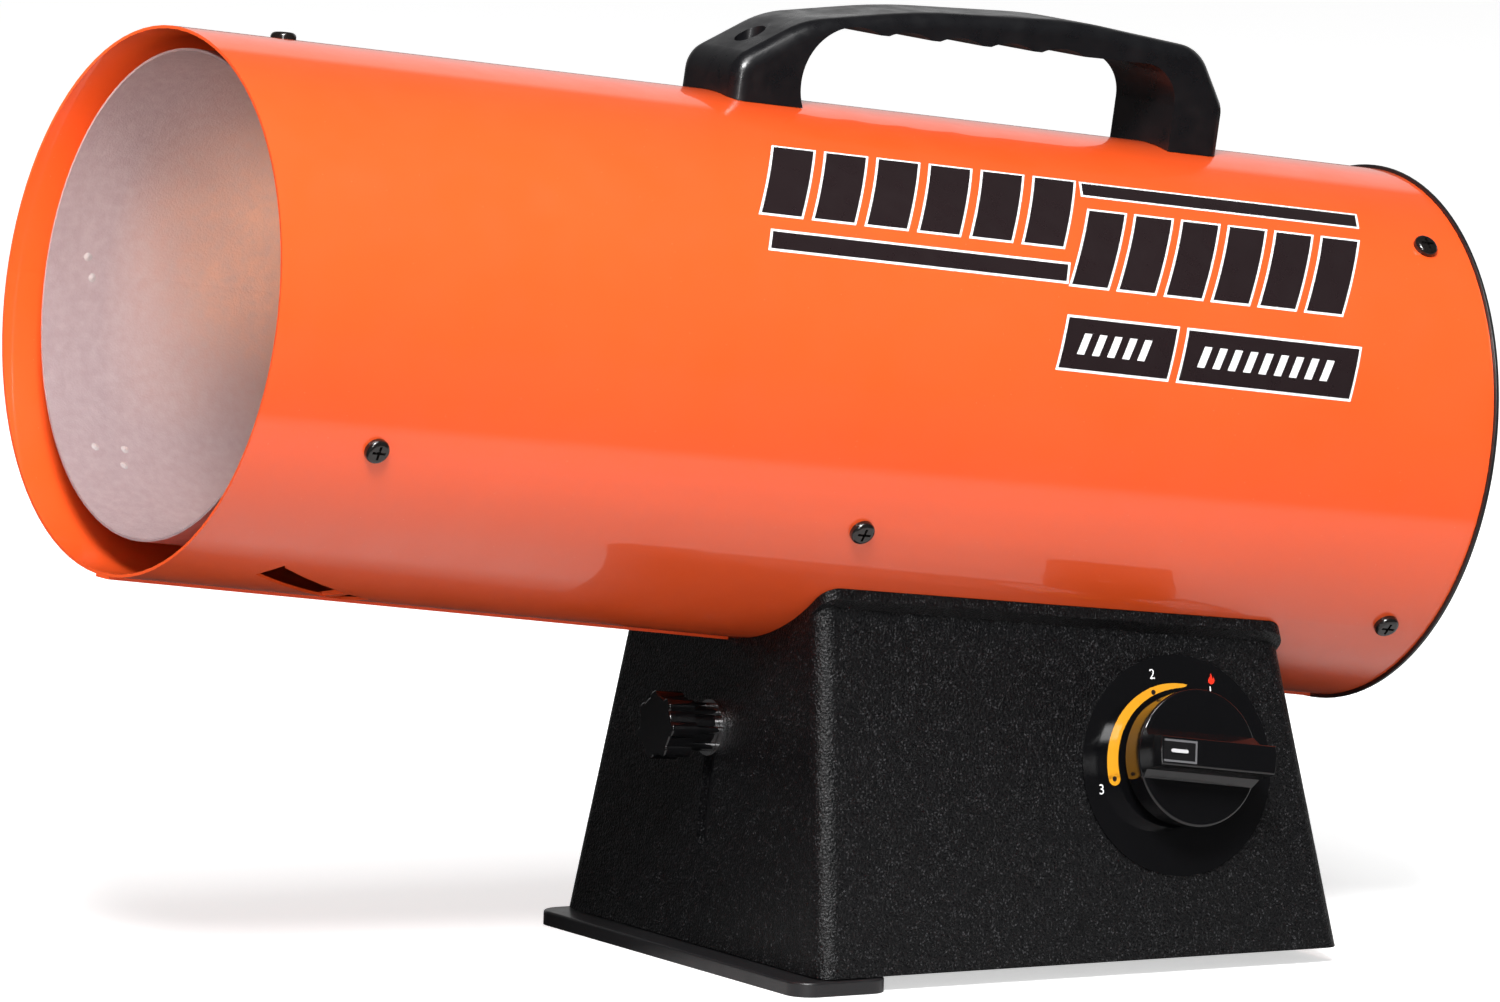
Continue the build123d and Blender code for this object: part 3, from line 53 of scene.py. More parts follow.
def in_tube(across, above, axial):
    """Point from millimetres across and above the tube's axis and along it from the mouth."""
    return MOUTH + ALONG * (axial * MM) + ABOVE * (above * MM) + Vector((0, across * MM, 0))


def on_round(axial, angle, radius, rise=0.0):
    """Point on a round of the tube; angle in degrees up from the knob side's horizontal."""
    turn = radians(180 - angle)
    return in_tube(radius * cos(turn), radius * sin(turn) + rise, axial)


def new_object(name, data):
    """Object in the scene, at the origin."""
    thing = bpy.data.objects.new(name, data)
    bpy.context.scene.collection.objects.link(thing)
    return thing


# ------------------------------------------------------------------ node helpers
NOISE_ROUGHNESS = 0.55
COAT_ROUGHNESS = 0.05
FINE_HEIGHT = 0.0003  # metres of the fine bump that most finishes have


def new_material(name):
    """Material with its tree, its shader and the place that textures are laid by."""
    material = bpy.data.materials.new(name)
    material.use_nodes = True
    tree = material.node_tree
    tree.nodes.clear()
    output = tree.nodes.new("ShaderNodeOutputMaterial")
    shader = tree.nodes.new("ShaderNodeBsdfPrincipled")
    tree.links.new(shader.outputs["BSDF"], output.inputs["Surface"])
    coords = tree.nodes.new("ShaderNodeTexCoord")
    return material, tree, shader, coords.outputs["Object"]


def noise(tree, vector, scale, detail=4.0):
    node = tree.nodes.new("ShaderNodeTexNoise")
    node.inputs["Scale"].default_value = scale
    node.inputs["Detail"].default_value = detail
    node.inputs["Roughness"].default_value = NOISE_ROUGHNESS
    tree.links.new(vector, node.inputs["Vector"])
    return node.outputs["Fac"]


def cells(tree, vector, scale):
    """Distance from the middle of the nearest of many scattered cells."""
    node = tree.nodes.new("ShaderNodeTexVoronoi")
    node.inputs["Scale"].default_value = scale
    tree.links.new(vector, node.inputs["Vector"])
    return node.outputs["Distance"]


def spread(tree, value, low, high, to_low, to_high):
    """Maps the range from low to high onto another range, and holds its ends."""
    node = tree.nodes.new("ShaderNodeMapRange")
    node.inputs["From Min"].default_value = low
    node.inputs["From Max"].default_value = high
    node.inputs["To Min"].default_value = to_low
    node.inputs["To Max"].default_value = to_high
    tree.links.new(value, node.inputs["Value"])
    return node.outputs["Result"]


def combine(tree, operation, first, second):
    """Math node; each side is a socket or a number."""
    node = tree.nodes.new("ShaderNodeMath")
    node.operation = operation
    for socket, value in zip(node.inputs, (first, second)):
        if hasattr(value, "links"):
            tree.links.new(value, socket)
        else:
            socket.default_value = value
    return node.outputs[0]


def distance_along(tree, vector, origin, direction):
    """Metres from a point along a direction."""
    node = tree.nodes.new("ShaderNodeVectorMath")
    node.operation = "DOT_PRODUCT"
    node.inputs[1].default_value = direction
    tree.links.new(vector, node.inputs[0])
    return combine(tree, "SUBTRACT", node.outputs["Value"], origin.dot(direction))


def blend_colours(tree, factor, first, second):
    """Colour between two others; each is a socket or three numbers."""
    node = tree.nodes.new("ShaderNodeMix")
    node.data_type = "RGBA"
    tree.links.new(factor, node.inputs["Factor"])
    for name, colour in (("A", first), ("B", second)):
        target = [s for s in node.inputs if s.name == name and s.type == "RGBA"][0]
        if hasattr(colour, "links"):
            tree.links.new(colour, target)
        else:
            target.default_value = (*colour, 1.0)
    return [s for s in node.outputs if s.type == "RGBA"][0]


def bump(tree, shader, height, strength, distance):
    """Adds a bump over any bump that the shader has."""
    node = tree.nodes.new("ShaderNodeBump")
    node.inputs["Strength"].default_value = strength
    node.inputs["Distance"].default_value = distance
    tree.links.new(height, node.inputs["Height"])
    for link in list(shader.inputs["Normal"].links):
        tree.links.new(link.from_socket, node.inputs["Normal"])
    tree.links.new(node.outputs["Normal"], shader.inputs["Normal"])


def shaded(colour, factor):
    return tuple(min(1.0, c * factor) for c in colour)


# ------------------------------------------------------------------ materials
def surface(name, colour, rough, metal=0.0, coat=0.0, grain=900.0, depth=0.05, mottle=0.12,
            rough_spread=0.06):
    """Shared finish: mottled colour, uneven roughness and a fine bump."""
    material, tree, shader, place = new_material(name)
    shader.inputs["Metallic"].default_value = metal
    shader.inputs["Coat Weight"].default_value = coat
    shader.inputs["Coat Roughness"].default_value = COAT_ROUGHNESS
    mottled = blend_colours(
        tree, noise(tree, place, 45.0), shaded(colour, 1 - mottle), shaded(colour, 1 + mottle)
    )
    tree.links.new(mottled, shader.inputs["Base Color"])
    smudge = noise(tree, place, 120.0, detail=6.0)
    low, high = max(0.02, rough - rough_spread), rough + rough_spread
    tree.links.new(spread(tree, smudge, 0.3, 0.7, low, high), shader.inputs["Roughness"])
    bump(tree, shader, noise(tree, place, grain, detail=3.0), depth, FINE_HEIGHT)
    return material


GRAIN_HEIGHT = 0.0004
# painted glints: colour of the pale specks laid into the base colour where pebbles would catch the light
PAINTED_GLINT = (0.052, 0.052, 0.055)


def grained_plastic(name, colour, cell, depth, rough):
    """Moulded pebble grain, with a scatter of small painted glints: pale specks in the base colour where
    pebbles would catch the light.
    """
    material, tree, shader, place = new_material(name)
    shader.inputs["Specular IOR Level"].default_value = 0.25
    fine = noise(tree, place, cell * 1.7)
    pebble = combine(tree, "MULTIPLY_ADD", cells(tree, place, cell), 0.8)
    tree.links.new(fine, pebble.node.inputs[2])
    bump(tree, shader, pebble, depth, GRAIN_HEIGHT)
    tint = blend_colours(tree, noise(tree, place, 60.0), shaded(colour, 0.8), shaded(colour, 1.25))
    # painted glints, pale specks mixed into the base colour in place of light caught by the pebbles
    painted_glints = spread(tree, cells(tree, place, cell * 0.9), 0.12, 0.36, 1.0, 0.0)
    caught = spread(tree, noise(tree, place, cell * 0.3, detail=2.0), 0.42, 0.62, 0.0, 1.0)
    painted_glints = combine(tree, "MULTIPLY", painted_glints, caught)
    tree.links.new(blend_colours(tree, painted_glints, tint, PAINTED_GLINT), shader.inputs["Base Color"])
    tree.links.new(
        spread(tree, fine, 0.35, 0.65, rough - 0.1, rough + 0.12), shader.inputs["Roughness"]
    )
    return material


COOL_SHEET = (0.36, 0.27, 0.28)
# painted warm highlight: light warm colour on the chamber's far wall that stands in for light falling there
PAINTED_WARM_HIGHLIGHT = (0.96, 0.52, 0.35)
SHEET_DUST = (0.50, 0.41, 0.42)
HIGHLIGHT_START, HIGHLIGHT_FULL = 0.03, 0.09  # metres from the mouth
HIGHLIGHT_RISE = 0.018  # the brightest height of the painted warm highlight above the tube's axis
HIGHLIGHT_CORE, HIGHLIGHT_EDGE = 0.01, 0.065  # metres above or below that height
SHEET_WAVE = 0.0010


def highlighted_sheet(name):
    """Chamber sheet: dusty grey with a painted warm highlight that grows towards the burner, brightest in a
    band above the tube's axis.
    """
    material, tree, shader, place = new_material(name)
    deep = distance_along(tree, place, MOUTH, ALONG)
    share = spread(tree, deep, HIGHLIGHT_START, HIGHLIGHT_FULL, 0.0, 1.0)
    highlight_middle = MOUTH + ABOVE * HIGHLIGHT_RISE
    high = combine(tree, "ABSOLUTE", distance_along(tree, place, highlight_middle, ABOVE), 0.0)
    level = spread(tree, high, HIGHLIGHT_CORE, HIGHLIGHT_EDGE, 1.0, 0.1)
    share = combine(tree, "MULTIPLY", share, level)
    patches = noise(tree, place, 22.0, detail=5.0)
    share = combine(tree, "MULTIPLY", share, spread(tree, patches, 0.3, 0.7, 0.6, 1.1))
    # painted warm highlight, mixed into the sheet's colour deep in the chamber and in a band above its axis
    sheet_and_highlight = blend_colours(tree, share, COOL_SHEET, PAINTED_WARM_HIGHLIGHT)
    dusty = spread(tree, noise(tree, place, 300.0, detail=6.0), 0.35, 0.7, 0.0, 0.35)
    tree.links.new(blend_colours(tree, dusty, sheet_and_highlight, SHEET_DUST), shader.inputs["Base Color"])
    shader.inputs["Metallic"].default_value = 0.25
    fine = noise(tree, place, 1300.0, detail=4.0)
    tree.links.new(spread(tree, fine, 0.3, 0.7, 0.32, 0.50), shader.inputs["Roughness"])
    bump(tree, shader, noise(tree, place, 9.0, detail=1.0), 1.0, SHEET_WAVE)
    bump(tree, shader, fine, 0.35, FINE_HEIGHT)
    return material


ENAMEL_DEEP = (0.86, 0.088, 0.013)
ENAMEL_PALE = (0.92, 0.102, 0.016)
ENAMEL_DUST = (0.95, 0.30, 0.18)
ENAMEL_WAVE = 0.0012
PEEL_HEIGHT = 0.0004


def enamel(name):
    """Gloss powder coat on slightly wavy sheet, with a faint orange peel and specks of dust."""
    material, tree, shader, place = new_material(name)
    shader.inputs["Coat Weight"].default_value = 0.9
    shader.inputs["Coat Roughness"].default_value = 0.035
    tint = blend_colours(tree, noise(tree, place, 14.0), ENAMEL_DEEP, ENAMEL_PALE)
    specks = spread(tree, cells(tree, place, 210.0), 0.03, 0.05, 0.35, 0.0)
    tree.links.new(blend_colours(tree, specks, tint, ENAMEL_DUST), shader.inputs["Base Color"])
    smudge = noise(tree, place, 60.0, detail=6.0)
    tree.links.new(spread(tree, smudge, 0.3, 0.7, 0.30, 0.42), shader.inputs["Roughness"])
    bump(tree, shader, noise(tree, place, 11.0, detail=1.0), 1.0, ENAMEL_WAVE)
    bump(tree, shader, noise(tree, place, 420.0, detail=2.0), 0.02, PEEL_HEIGHT)
    return material


# ------------------------------------------------------------------ gas knob's own frame
turn_joint = next(joint for joint in frame["joints"] if joint["name"] == "knob_turn")
STEM = Vector(turn_joint["pos_m"])
DIAL_OUT = Vector(turn_joint["axis"])
DIAL_ACROSS = Vector((1, 0, 0))
DIAL_UP = DIAL_OUT.cross(DIAL_ACROSS)
DIAL_DROP = 1.6  # the plate's middle below the stem
DIAL_WALL = 0.8
BAR_TURN = radians(-7.5)
BAR_ALONG = DIAL_ACROSS * cos(BAR_TURN) + DIAL_UP * sin(BAR_TURN)
BAR_ACROSS = DIAL_UP * cos(BAR_TURN) - DIAL_ACROSS * sin(BAR_TURN)
INSERT_HALF_WIDTH = 3.75
INSERT_START = 8.7
INSERT_TOP = 27.3  # above the wall
INSERT_LINE = 0.7
INSERT_DEEP = (0.006, 0.006, 0.007)
INSERT_PALE = (0.010, 0.010, 0.010)
OUTLINE_GREY = (0.20, 0.20, 0.21)
OUTLINE_SHARE = 0.6
DASH_SILVER = (0.55, 0.55, 0.56)


def knob_marker(name):
    """Gloss black insert with a pale outline and a silver dash that stands proud of it."""
    material, tree, shader, place = new_material(name)
    tint = blend_colours(tree, noise(tree, place, 200.0), INSERT_DEEP, INSERT_PALE)
    side = combine(tree, "ABSOLUTE", distance_along(tree, place, STEM, BAR_ACROSS), 0.0)
    start = distance_along(tree, place, STEM, -BAR_ALONG)
    line_at = (INSERT_HALF_WIDTH - INSERT_LINE) * MM
    outline = combine(tree, "GREATER_THAN", side, line_at)
    end_line = combine(tree, "LESS_THAN", start, (INSERT_START + INSERT_LINE) * MM)
    outline = combine(tree, "MAXIMUM", outline, end_line)
    outline = combine(tree, "MULTIPLY", outline, OUTLINE_SHARE)
    tint = blend_colours(tree, outline, tint, OUTLINE_GREY)
    out = distance_along(tree, place, STEM, DIAL_OUT)
    proud = combine(tree, "GREATER_THAN", out, INSERT_TOP * MM)
    tint = blend_colours(tree, proud, tint, DASH_SILVER)
    tree.links.new(tint, shader.inputs["Base Color"])
    fine = noise(tree, place, 500.0)
    tree.links.new(spread(tree, fine, 0.3, 0.7, 0.10, 0.18), shader.inputs["Roughness"])
    bump(tree, shader, fine, 0.02, FINE_HEIGHT)
    return material


looks = {
    "orange_enamel": enamel("orange_enamel"),
    "heat_grey_sheet": highlighted_sheet("heat_grey_sheet"),
    "zinc_sheet": surface("zinc_sheet", (0.56, 0.57, 0.56), 0.38, metal=0.95, grain=300.0),
    "black_screw": surface("black_screw", (0.016, 0.014, 0.013), 0.20, metal=0.5, coat=0.6),
    "black_enamel": surface(
        "black_enamel", (0.008, 0.008, 0.009), 0.40, coat=0.1, grain=1500.0, depth=0.15
    ),
    "guard_wire": surface("guard_wire", (0.60, 0.61, 0.62), 0.26, metal=0.8),
    "housing_plastic": grained_plastic(
        "housing_plastic", (0.002, 0.002, 0.0024), 1050.0, 0.75, 0.33
    ),
    "handle_plastic": surface(
        "handle_plastic", (0.005, 0.005, 0.006), 0.33, coat=0.08, grain=1200.0, depth=0.12,
        rough_spread=0.12
    ),
    "knob_plastic": surface("knob_plastic", (0.003, 0.003, 0.0035), 0.13, coat=0.1, depth=0.02),
    "dial_print": surface("dial_print", (0.003, 0.003, 0.0035), 0.10, coat=0.2, depth=0.01),
    "motor_can": surface("motor_can", (0.16, 0.17, 0.18), 0.42, metal=0.3, grain=500.0),
    "fan_sheet": surface("fan_sheet", (0.62, 0.63, 0.65), 0.42, metal=0.7, grain=250.0),
    "shaft_steel": surface("shaft_steel", (0.60, 0.60, 0.61), 0.24, metal=1.0),
    "brass_fitting": surface("brass_fitting", (0.72, 0.50, 0.20), 0.26, metal=1.0),
    "valve_alloy": surface(
        "valve_alloy", (0.55, 0.56, 0.57), 0.42, metal=0.9, grain=600.0, depth=0.1
    ),
    "burner_steel": surface("burner_steel", (0.34, 0.29, 0.25), 0.45, metal=0.8, mottle=0.3),
    "white_insulator": surface("white_insulator", (0.80, 0.78, 0.72), 0.20, coat=0.5),
    "black_rubber": surface("black_rubber", (0.012, 0.012, 0.012), 0.65, grain=700.0, depth=0.15),
    "lead_sleeve": surface("lead_sleeve", (0.42, 0.03, 0.02), 0.60, grain=1500.0, depth=0.4),
    "button_plastic": surface("button_plastic", (0.55, 0.02, 0.015), 0.22, coat=0.4),
}
slot_of = {row["node"]: row["material_slot"] for row in frame["record"]["subparts"]}
for node, thing in frame["nodes"].items():
    thing.data.materials.clear()
    thing.data.materials.append(looks[slot_of[node]])
frame["nodes"]["knob_insert"].data.materials[0] = knob_marker("knob_marker")

ink = surface("decal_ink", (0.014, 0.008, 0.009), 0.30, coat=0.4, depth=0.01)
white_ink = surface("decal_white", (0.85, 0.85, 0.86), 0.35, coat=0.3, mottle=0.03, depth=0.01)
weld_look = surface("weld_spot", (0.62, 0.55, 0.55), 0.16, metal=0.4, coat=0.6, depth=0.3)
yellow_ink = surface("dial_yellow", (0.74, 0.32, 0.015), 0.30, coat=0.5, mottle=0.03, depth=0.01)
red_ink = surface("dial_red", (0.80, 0.03, 0.01), 0.30, coat=0.5, mottle=0.03, depth=0.01)


def mesh_piece(name, points, faces, material, smooth=False, body="heater"):
    """Piece of the scene that rides on a body."""
    mesh = bpy.data.meshes.new(name)
    mesh.from_pydata([tuple(p) for p in points], [], faces)
    mesh.update()
    mesh.materials.append(material)
    piece = new_object(name, mesh)
    if smooth:
        mesh.shade_smooth()
    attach(piece, body)
    return piece


# ------------------------------------------------------------------ bars printed on the shell
# Axial places are millimetres from the mouth, along a bar's lower edge; slant is how far its
# upper edge runs further back. Angles are degrees up from the knob side's horizontal.
KEYLINE = 0.9  # width of the pale line round each bar
DEGREE = radians(1) * SHELL_RADIUS  # millimetres of arc
LINE_LIFT = 0.08
INK_LIFT = 0.16
TICK_LIFT = 0.24
BLOCKS = 6  # slanted blocks in each row
BAR_COLUMNS = 12
ROW_HEIGHT = 1.5  # degrees of a bar's mesh row, about
LABEL_ANGLE, LABEL_HEIGHT, LABEL_SLANT = 10.4, 11.0, 4.6
TICK_ANGLE, TICK_HEIGHT, TICK_SLANT = 13.6, 4.6, 3.4
TICK_START = 7.0  # from the label's start
TICK_MARGIN = 13.0  # of a label's length, without ticks
TICK_SHARE = 0.48  # of the pitch


def shell_bar(name, axial, length, angle, height, slant, lift, material):
    """Slanted bar that follows the shell's round."""
    columns = BAR_COLUMNS
    rows = max(2, int(height / ROW_HEIGHT))
    points = []
    for row in range(rows + 1):
        share = row / rows
        for column in range(columns + 1):
            along = axial + slant * share + length * column / columns
            points.append(on_round(along, angle + height * share, SHELL_RADIUS + lift))
    faces = []
    for row in range(rows):
        for column in range(columns):
            first = row * (columns + 1) + column
            faces.append((first, first + 1, first + columns + 2, first + columns + 1))
    return mesh_piece(name, points, faces, material, smooth=True)


def keyed_bar(name, axial, length, angle, height, slant):
    """Dark bar over a pale one that shows as a line round it."""
    grow = KEYLINE / DEGREE
    lean = slant / height * grow
    shell_bar(name + "_line", axial - KEYLINE - lean, length + 2 * KEYLINE, angle - grow,
              height + 2 * grow, slant + 2 * lean, LINE_LIFT, white_ink)
    shell_bar(name, axial, length, angle, height, slant, INK_LIFT, ink)


def block_row(name, start, end, gap, angle, height, slant):
    length = (end - start - gap * (BLOCKS - 1)) / BLOCKS
    for index in range(BLOCKS):
        keyed_bar(f"{name}_{index}", start + index * (length + gap), length, angle, height, slant)


def ticked_label(name, start, length, ticks):
    """Dark label with a row of small pale ticks."""
    keyed_bar(name, start, length, LABEL_ANGLE, LABEL_HEIGHT, LABEL_SLANT)
    pitch = (length - TICK_MARGIN) / ticks
    for index in range(ticks):
        shell_bar(f"{name}_tick_{index}", start + TICK_START + index * pitch, pitch * TICK_SHARE,
                  TICK_ANGLE, TICK_HEIGHT, TICK_SLANT, TICK_LIFT, white_ink)


block_row("upper_block", 184.0, 301.0, 5.0, 37.7, 19.5, 15.0)
block_row("lower_block", 301.5, 408.5, 4.6, 28.9, 19.5, 15.0)
keyed_bar("upper_stripe", 316.9, 109.3, 53.1, 3.9, 1.9)
keyed_bar("lower_stripe", 185.0, 114.5, 29.4, 4.0, 1.9)
ticked_label("short_label", 294.5, 42.6, 5)
ticked_label("long_label", 341.8, 67.8, 9)


# ------------------------------------------------------------------ spot welds in the chamber
WELD_RADIUS = 1.9
WELD_RISE = 0.35
WELD_SINK = 0.02  # of its edge into the sheet
WELDS = ((23.4, 176.5), (26.1, 181.4), (23.1, 224.4), (34.3, 224.3), (32.0, 229.2))


def weld_dimple(name, axial, angle):
    """Low round bump on the inside of the chamber."""
    rings, steps = 4, 16
    points = []
    for ring in range(rings + 1):
        share = ring / rings
        rise = WELD_RISE * (cos(pi * share) + 1) / 2 - WELD_SINK
        for step in range(steps):
            turn = 2 * pi * step / steps
            reach = WELD_RADIUS * share
            spot_angle = angle + reach * sin(turn) / (radians(1) * CHAMBER_BORE)
            spot_axial = axial + reach * cos(turn)
            points.append(on_round(spot_axial, spot_angle, CHAMBER_BORE - rise, CHAMBER_LIFT))
    faces = []
    for ring in range(rings):
        for step in range(steps):
            after = (step + 1) % steps
            first = ring * steps
            faces.append((first + step, first + after, first + steps + after, first + steps + step))
    mesh_piece(name, points, faces, weld_look, smooth=True)


for index, (axial, angle) in enumerate(WELDS):
    weld_dimple(f"chamber_weld_{index}", axial, angle)

# ------------------------------------------------------------------ dial print
# Radii are millimetres from the plate's middle, angles degrees from the rear side, upwards.
PRINT_LIFT = 0.05
DOT_LIFT = 0.12
SCALE_OUTER = 27.2
SCALE_START = 76.0
SCALE_END = 187.5
SCALE_WIDTH = 4.5
SCALE_SWELL = 0.4
MIDDLE_RADIUS, MIDDLE_ANGLE = 25.5, 106.0
DOT_RADIUS = 0.85
NUMERAL_SIZE = 3.4
FONT_SHARE = 1.4  # the font's size over a numeral's height
NUMERALS = (("3", 30.8, 192.5), ("2", 31.2, 103.0), ("1", 28.2, 57.0))
FLAME_RADIUS, FLAME_ANGLE = 32.0, 60.0


def on_dial(radius, angle, lift):
    """Point at a lift above the dial plate."""
    turn = radians(angle)
    flat = DIAL_ACROSS * (radius * cos(turn)) + DIAL_UP * (radius * sin(turn) - DIAL_DROP)
    return STEM + (flat + DIAL_OUT * (DIAL_WALL + lift)) * MM


def scale_width(share):
    """The scale widens fast from its tip and then holds."""
    return SCALE_WIDTH * share ** SCALE_SWELL


def dial_scale(name, steps=64):
    points, faces = [], []
    for step in range(steps + 1):
        angle = SCALE_START + (SCALE_END - SCALE_START) * step / steps
        points.append(on_dial(SCALE_OUTER - scale_width(step / steps), angle, PRINT_LIFT))
        points.append(on_dial(SCALE_OUTER, angle, PRINT_LIFT))
    for step in range(steps):
        first = 2 * step
        faces.append((first, first + 1, first + 3, first + 2))
    return mesh_piece(name, points, faces, yellow_ink)


def dial_disc(name, radius, angle, size, lift, material, steps=24):
    centre = on_dial(radius, angle, lift)
    points = []
    for step in range(steps):
        turn = 2 * pi * step / steps
        points.append(centre + (DIAL_ACROSS * cos(turn) + DIAL_UP * sin(turn)) * size * MM)
    return mesh_piece(name, points, [tuple(range(steps))], material)


def dial_numeral(name, text, radius, angle):
    curve = bpy.data.curves.new(name, "FONT")
    curve.body = text
    curve.size = NUMERAL_SIZE * MM * FONT_SHARE
    curve.align_x = "CENTER"
    curve.align_y = "CENTER"
    source = new_object(name + "_text", curve)
    bpy.context.view_layer.update()
    mesh = bpy.data.meshes.new_from_object(source)
    bpy.data.objects.remove(source)
    turn = Matrix((DIAL_ACROSS, DIAL_UP, DIAL_OUT)).transposed().to_4x4()
    turn.translation = on_dial(radius, angle, PRINT_LIFT)
    mesh.transform(turn)
    mesh.materials.clear()
    mesh.materials.append(white_ink)
    piece = new_object(name, mesh)
    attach(piece, "heater")


dial_scale("heat_scale")
scale_middle = SCALE_OUTER - SCALE_WIDTH / 2
dial_disc("scale_end", scale_middle, SCALE_END, SCALE_WIDTH / 2, PRINT_LIFT, yellow_ink)
dial_disc("full_mark", scale_middle, SCALE_END, DOT_RADIUS, DOT_LIFT, ink)
dial_disc("middle_mark", MIDDLE_RADIUS, MIDDLE_ANGLE, DOT_RADIUS, DOT_LIFT, ink)
for numeral, radius, angle in NUMERALS:
    dial_numeral(f"numeral_{numeral}", numeral, radius, angle)

# outline of the flame near the scale's narrow end, millimetres from its middle
FLAME = (
    (0.0, -1.6), (0.9, -1.3), (1.35, -0.5), (1.2, 0.3), (0.75, 0.9), (0.85, 0.1), (0.45, 0.5),
    (0.35, 1.3), (-0.1, 2.2), (-0.2, 1.3), (-0.75, 0.6), (-1.2, -0.2), (-1.15, -1.0), (-0.6, -1.45),
)
flame_middle = on_dial(FLAME_RADIUS, FLAME_ANGLE, PRINT_LIFT)
flame_points = [flame_middle + (DIAL_ACROSS * x + DIAL_UP * y) * MM for x, y in FLAME]
mesh_piece("flame_mark", flame_points, [tuple(range(len(FLAME)))], red_ink)

# ------------------------------------------------------------------ camera
# Fitted to the photograph, together with the tube, the base and the foot.
CAMERA_PLACE = Vector((-2.64235, -4.3219, 0.7997))
CAMERA_RIGHT = Vector((0.8540, -0.5192, 0.0317))
CAMERA_UP = Vector((0.0390, 0.1248, 0.9914))
LENS, SENSOR = 372.9, 36.0
camera_data = bpy.data.cameras.new("camera")
camera = new_object("camera", camera_data)
right = CAMERA_RIGHT.normalized()
upward = CAMERA_UP
back = right.cross(upward).normalized()
upward = back.cross(right).normalized()
stand = Matrix((right, upward, back)).transposed().to_4x4()
stand.translation = CAMERA_PLACE
camera.matrix_world = stand
camera_data.lens = LENS
camera_data.sensor_width = SENSOR
camera_data.sensor_fit = "HORIZONTAL"
camera_data.clip_end = 200.0
bpy.context.scene.camera = camera


# ------------------------------------------------------------------ light and floor
def area(name, location, target, size, power):
    """Rectangular lamp that faces a target."""
    data = bpy.data.lights.new(name, "AREA")
    data.shape = "RECTANGLE"
    data.size, data.size_y = size
    data.energy = power
    light = new_object(name, data)
    light.location = location
    direction = Vector(target) - Vector(location)
    light.rotation_euler = direction.to_track_quat("-Z", "Y").to_euler()


area("key", (-1.25, -1.9, 2.3), (0, 0, 0.15), (1.0, 0.9), 140)
area("corner", (-1.81, -2.65, 0.85), (-0.05, -0.09, 0.08), (0.25, 1.0), 20)
area("top", (-0.4, -1.2, 3.0), (0, 0, 0.15), (1.2, 0.8), 30)

# soft warm beam that reaches through the mouth to the chamber's far wall
beam_data = bpy.data.lights.new("mouth_beam", "SPOT")
beam_data.energy = 1250
beam_data.color = (1.0, 0.84, 0.73)
beam_data.spot_size = radians(2.2)
beam_data.spot_blend = 1.0
beam_data.shadow_soft_size = 0.05
beam = new_object("mouth_beam", beam_data)
beam.location = (-2.8, -1.0, 0.5)
beam_aim = in_tube(68.0, 30.0, 84.0) - beam.location
beam.rotation_euler = beam_aim.to_track_quat("-Z", "Y").to_euler()

SPAN = 40.0
TABLE_FRONT = 0.30  # reach of the lit table that mirrored rays see, from the object's middle
TABLE_LEFT = 0.30
TABLE_BACK = 0.01
TABLE_SOFT = 0.02
FLOOR_GAP = 0.0002  # under the object
FLOOR_LIT = (0.36, 0.36, 0.36)  # what it throws back on the object
FLOOR_PALE = (0.93, 0.93, 0.93)  # what the camera sees
FLOOR_GLOW = 0.55
TABLE_LIT = (0.54, 0.54, 0.54)
TABLE_DARK = (0.02, 0.02, 0.02)
floor_mesh = bpy.data.meshes.new("floor")
floor_mesh.from_pydata(
    [(-SPAN, -SPAN, 0), (SPAN, -SPAN, 0), (SPAN, SPAN, 0), (-SPAN, SPAN, 0)], [], [(0, 1, 2, 3)]
)
floor = new_object("floor", floor_mesh)
floor.location.z = -FLOOR_GAP
floor_look, floor_tree, floor_shader, floor_place = new_material("floor")
floor_shader.inputs["Roughness"].default_value = 0.9
floor_rays = floor_tree.nodes.new("ShaderNodeLightPath")


def past_edge(direction, reach):
    """Grows from 0 to 1 across an edge of the lit table."""
    out = distance_along(floor_tree, floor_place, ORIGIN, Vector(direction))
    return spread(floor_tree, out, reach - TABLE_SOFT, reach + TABLE_SOFT, 0.0, 1.0)


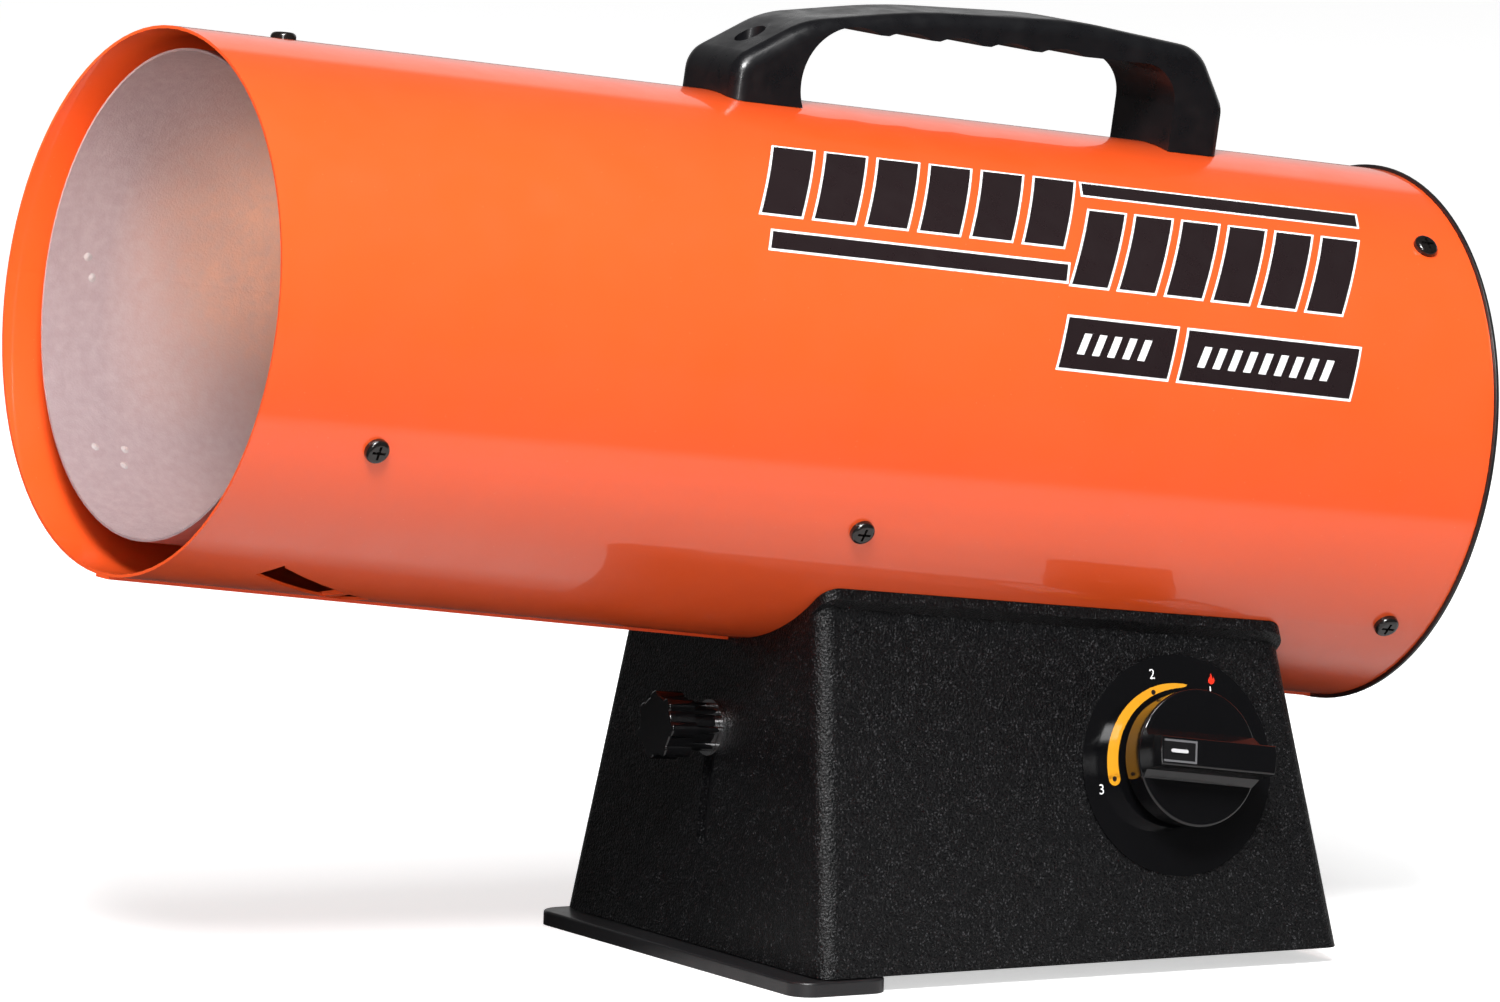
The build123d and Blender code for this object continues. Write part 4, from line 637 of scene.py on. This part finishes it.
off_table = combine(
    floor_tree, "MAXIMUM", past_edge((0, -1, 0), TABLE_FRONT), past_edge((-1, 0, 0), TABLE_LEFT)
)
off_table = combine(floor_tree, "MAXIMUM", off_table, past_edge((0, 1, 0), TABLE_BACK))
mirrored_table = blend_colours(floor_tree, off_table, TABLE_LIT, TABLE_DARK)
floor_seen = blend_colours(
    floor_tree, floor_rays.outputs["Is Camera Ray"], FLOOR_LIT, FLOOR_PALE
)
floor_tree.links.new(
    blend_colours(floor_tree, floor_rays.outputs["Is Glossy Ray"], floor_seen, mirrored_table),
    floor_shader.inputs["Base Color"],
)
floor_shader.inputs["Emission Color"].default_value = (1, 1, 1, 1)
floor_glow = combine(floor_tree, "MULTIPLY", floor_rays.outputs["Is Camera Ray"], FLOOR_GLOW)
floor_tree.links.new(floor_glow, floor_shader.inputs["Emission Strength"])
floor_mesh.materials.append(floor_look)

AMBIENT = 0.30
MIRROR_DIM = 0.05
MIRROR_BRIGHT = 0.58  # the low lit wall behind the object
WALL_SIDE = Vector((0.6, 0.8, 0))
WALL_TOP, WALL_FADE = 0.44, 0.50  # how far up a ray points where the wall ends
WALL_EDGE, WALL_FULL = 0.55, 0.8  # how far it points to the wall's side where the wall begins
world = bpy.data.worlds.new("studio")
bpy.context.scene.world = world
world.use_nodes = True
sky = world.node_tree
sky.nodes.clear()
sky_output = sky.nodes.new("ShaderNodeOutputWorld")
sky_rays = sky.nodes.new("ShaderNodeLightPath")
sky_place = sky.nodes.new("ShaderNodeTexCoord").outputs["Generated"]
rise = distance_along(sky, sky_place, ORIGIN, Vector((0, 0, 1)))
low_down = spread(sky, rise, WALL_TOP, WALL_FADE, 1.0, 0.0)
away = distance_along(sky, sky_place, ORIGIN, WALL_SIDE)
behind = spread(sky, away, WALL_EDGE, WALL_FULL, 0.0, 1.0)
backdrop = combine(sky, "MULTIPLY", low_down, behind)
mirror_level = spread(sky, backdrop, 0.0, 1.0, MIRROR_DIM, MIRROR_BRIGHT)
glossy_level = combine(sky, "MULTIPLY", mirror_level, sky_rays.outputs["Is Glossy Ray"])
plain = combine(sky, "SUBTRACT", 1.0, sky_rays.outputs["Is Glossy Ray"])
camera_level = spread(sky, sky_rays.outputs["Is Camera Ray"], 0.0, 1.0, AMBIENT, 1.0)
level = combine(sky, "ADD", glossy_level, combine(sky, "MULTIPLY", plain, camera_level))
ambient = sky.nodes.new("ShaderNodeBackground")
ambient.inputs["Color"].default_value = (1, 1, 1, 1)
sky.links.new(level, ambient.inputs["Strength"])
sky.links.new(ambient.outputs["Background"], sky_output.inputs["Surface"])

bpy.context.scene.view_settings.view_transform = "Standard"
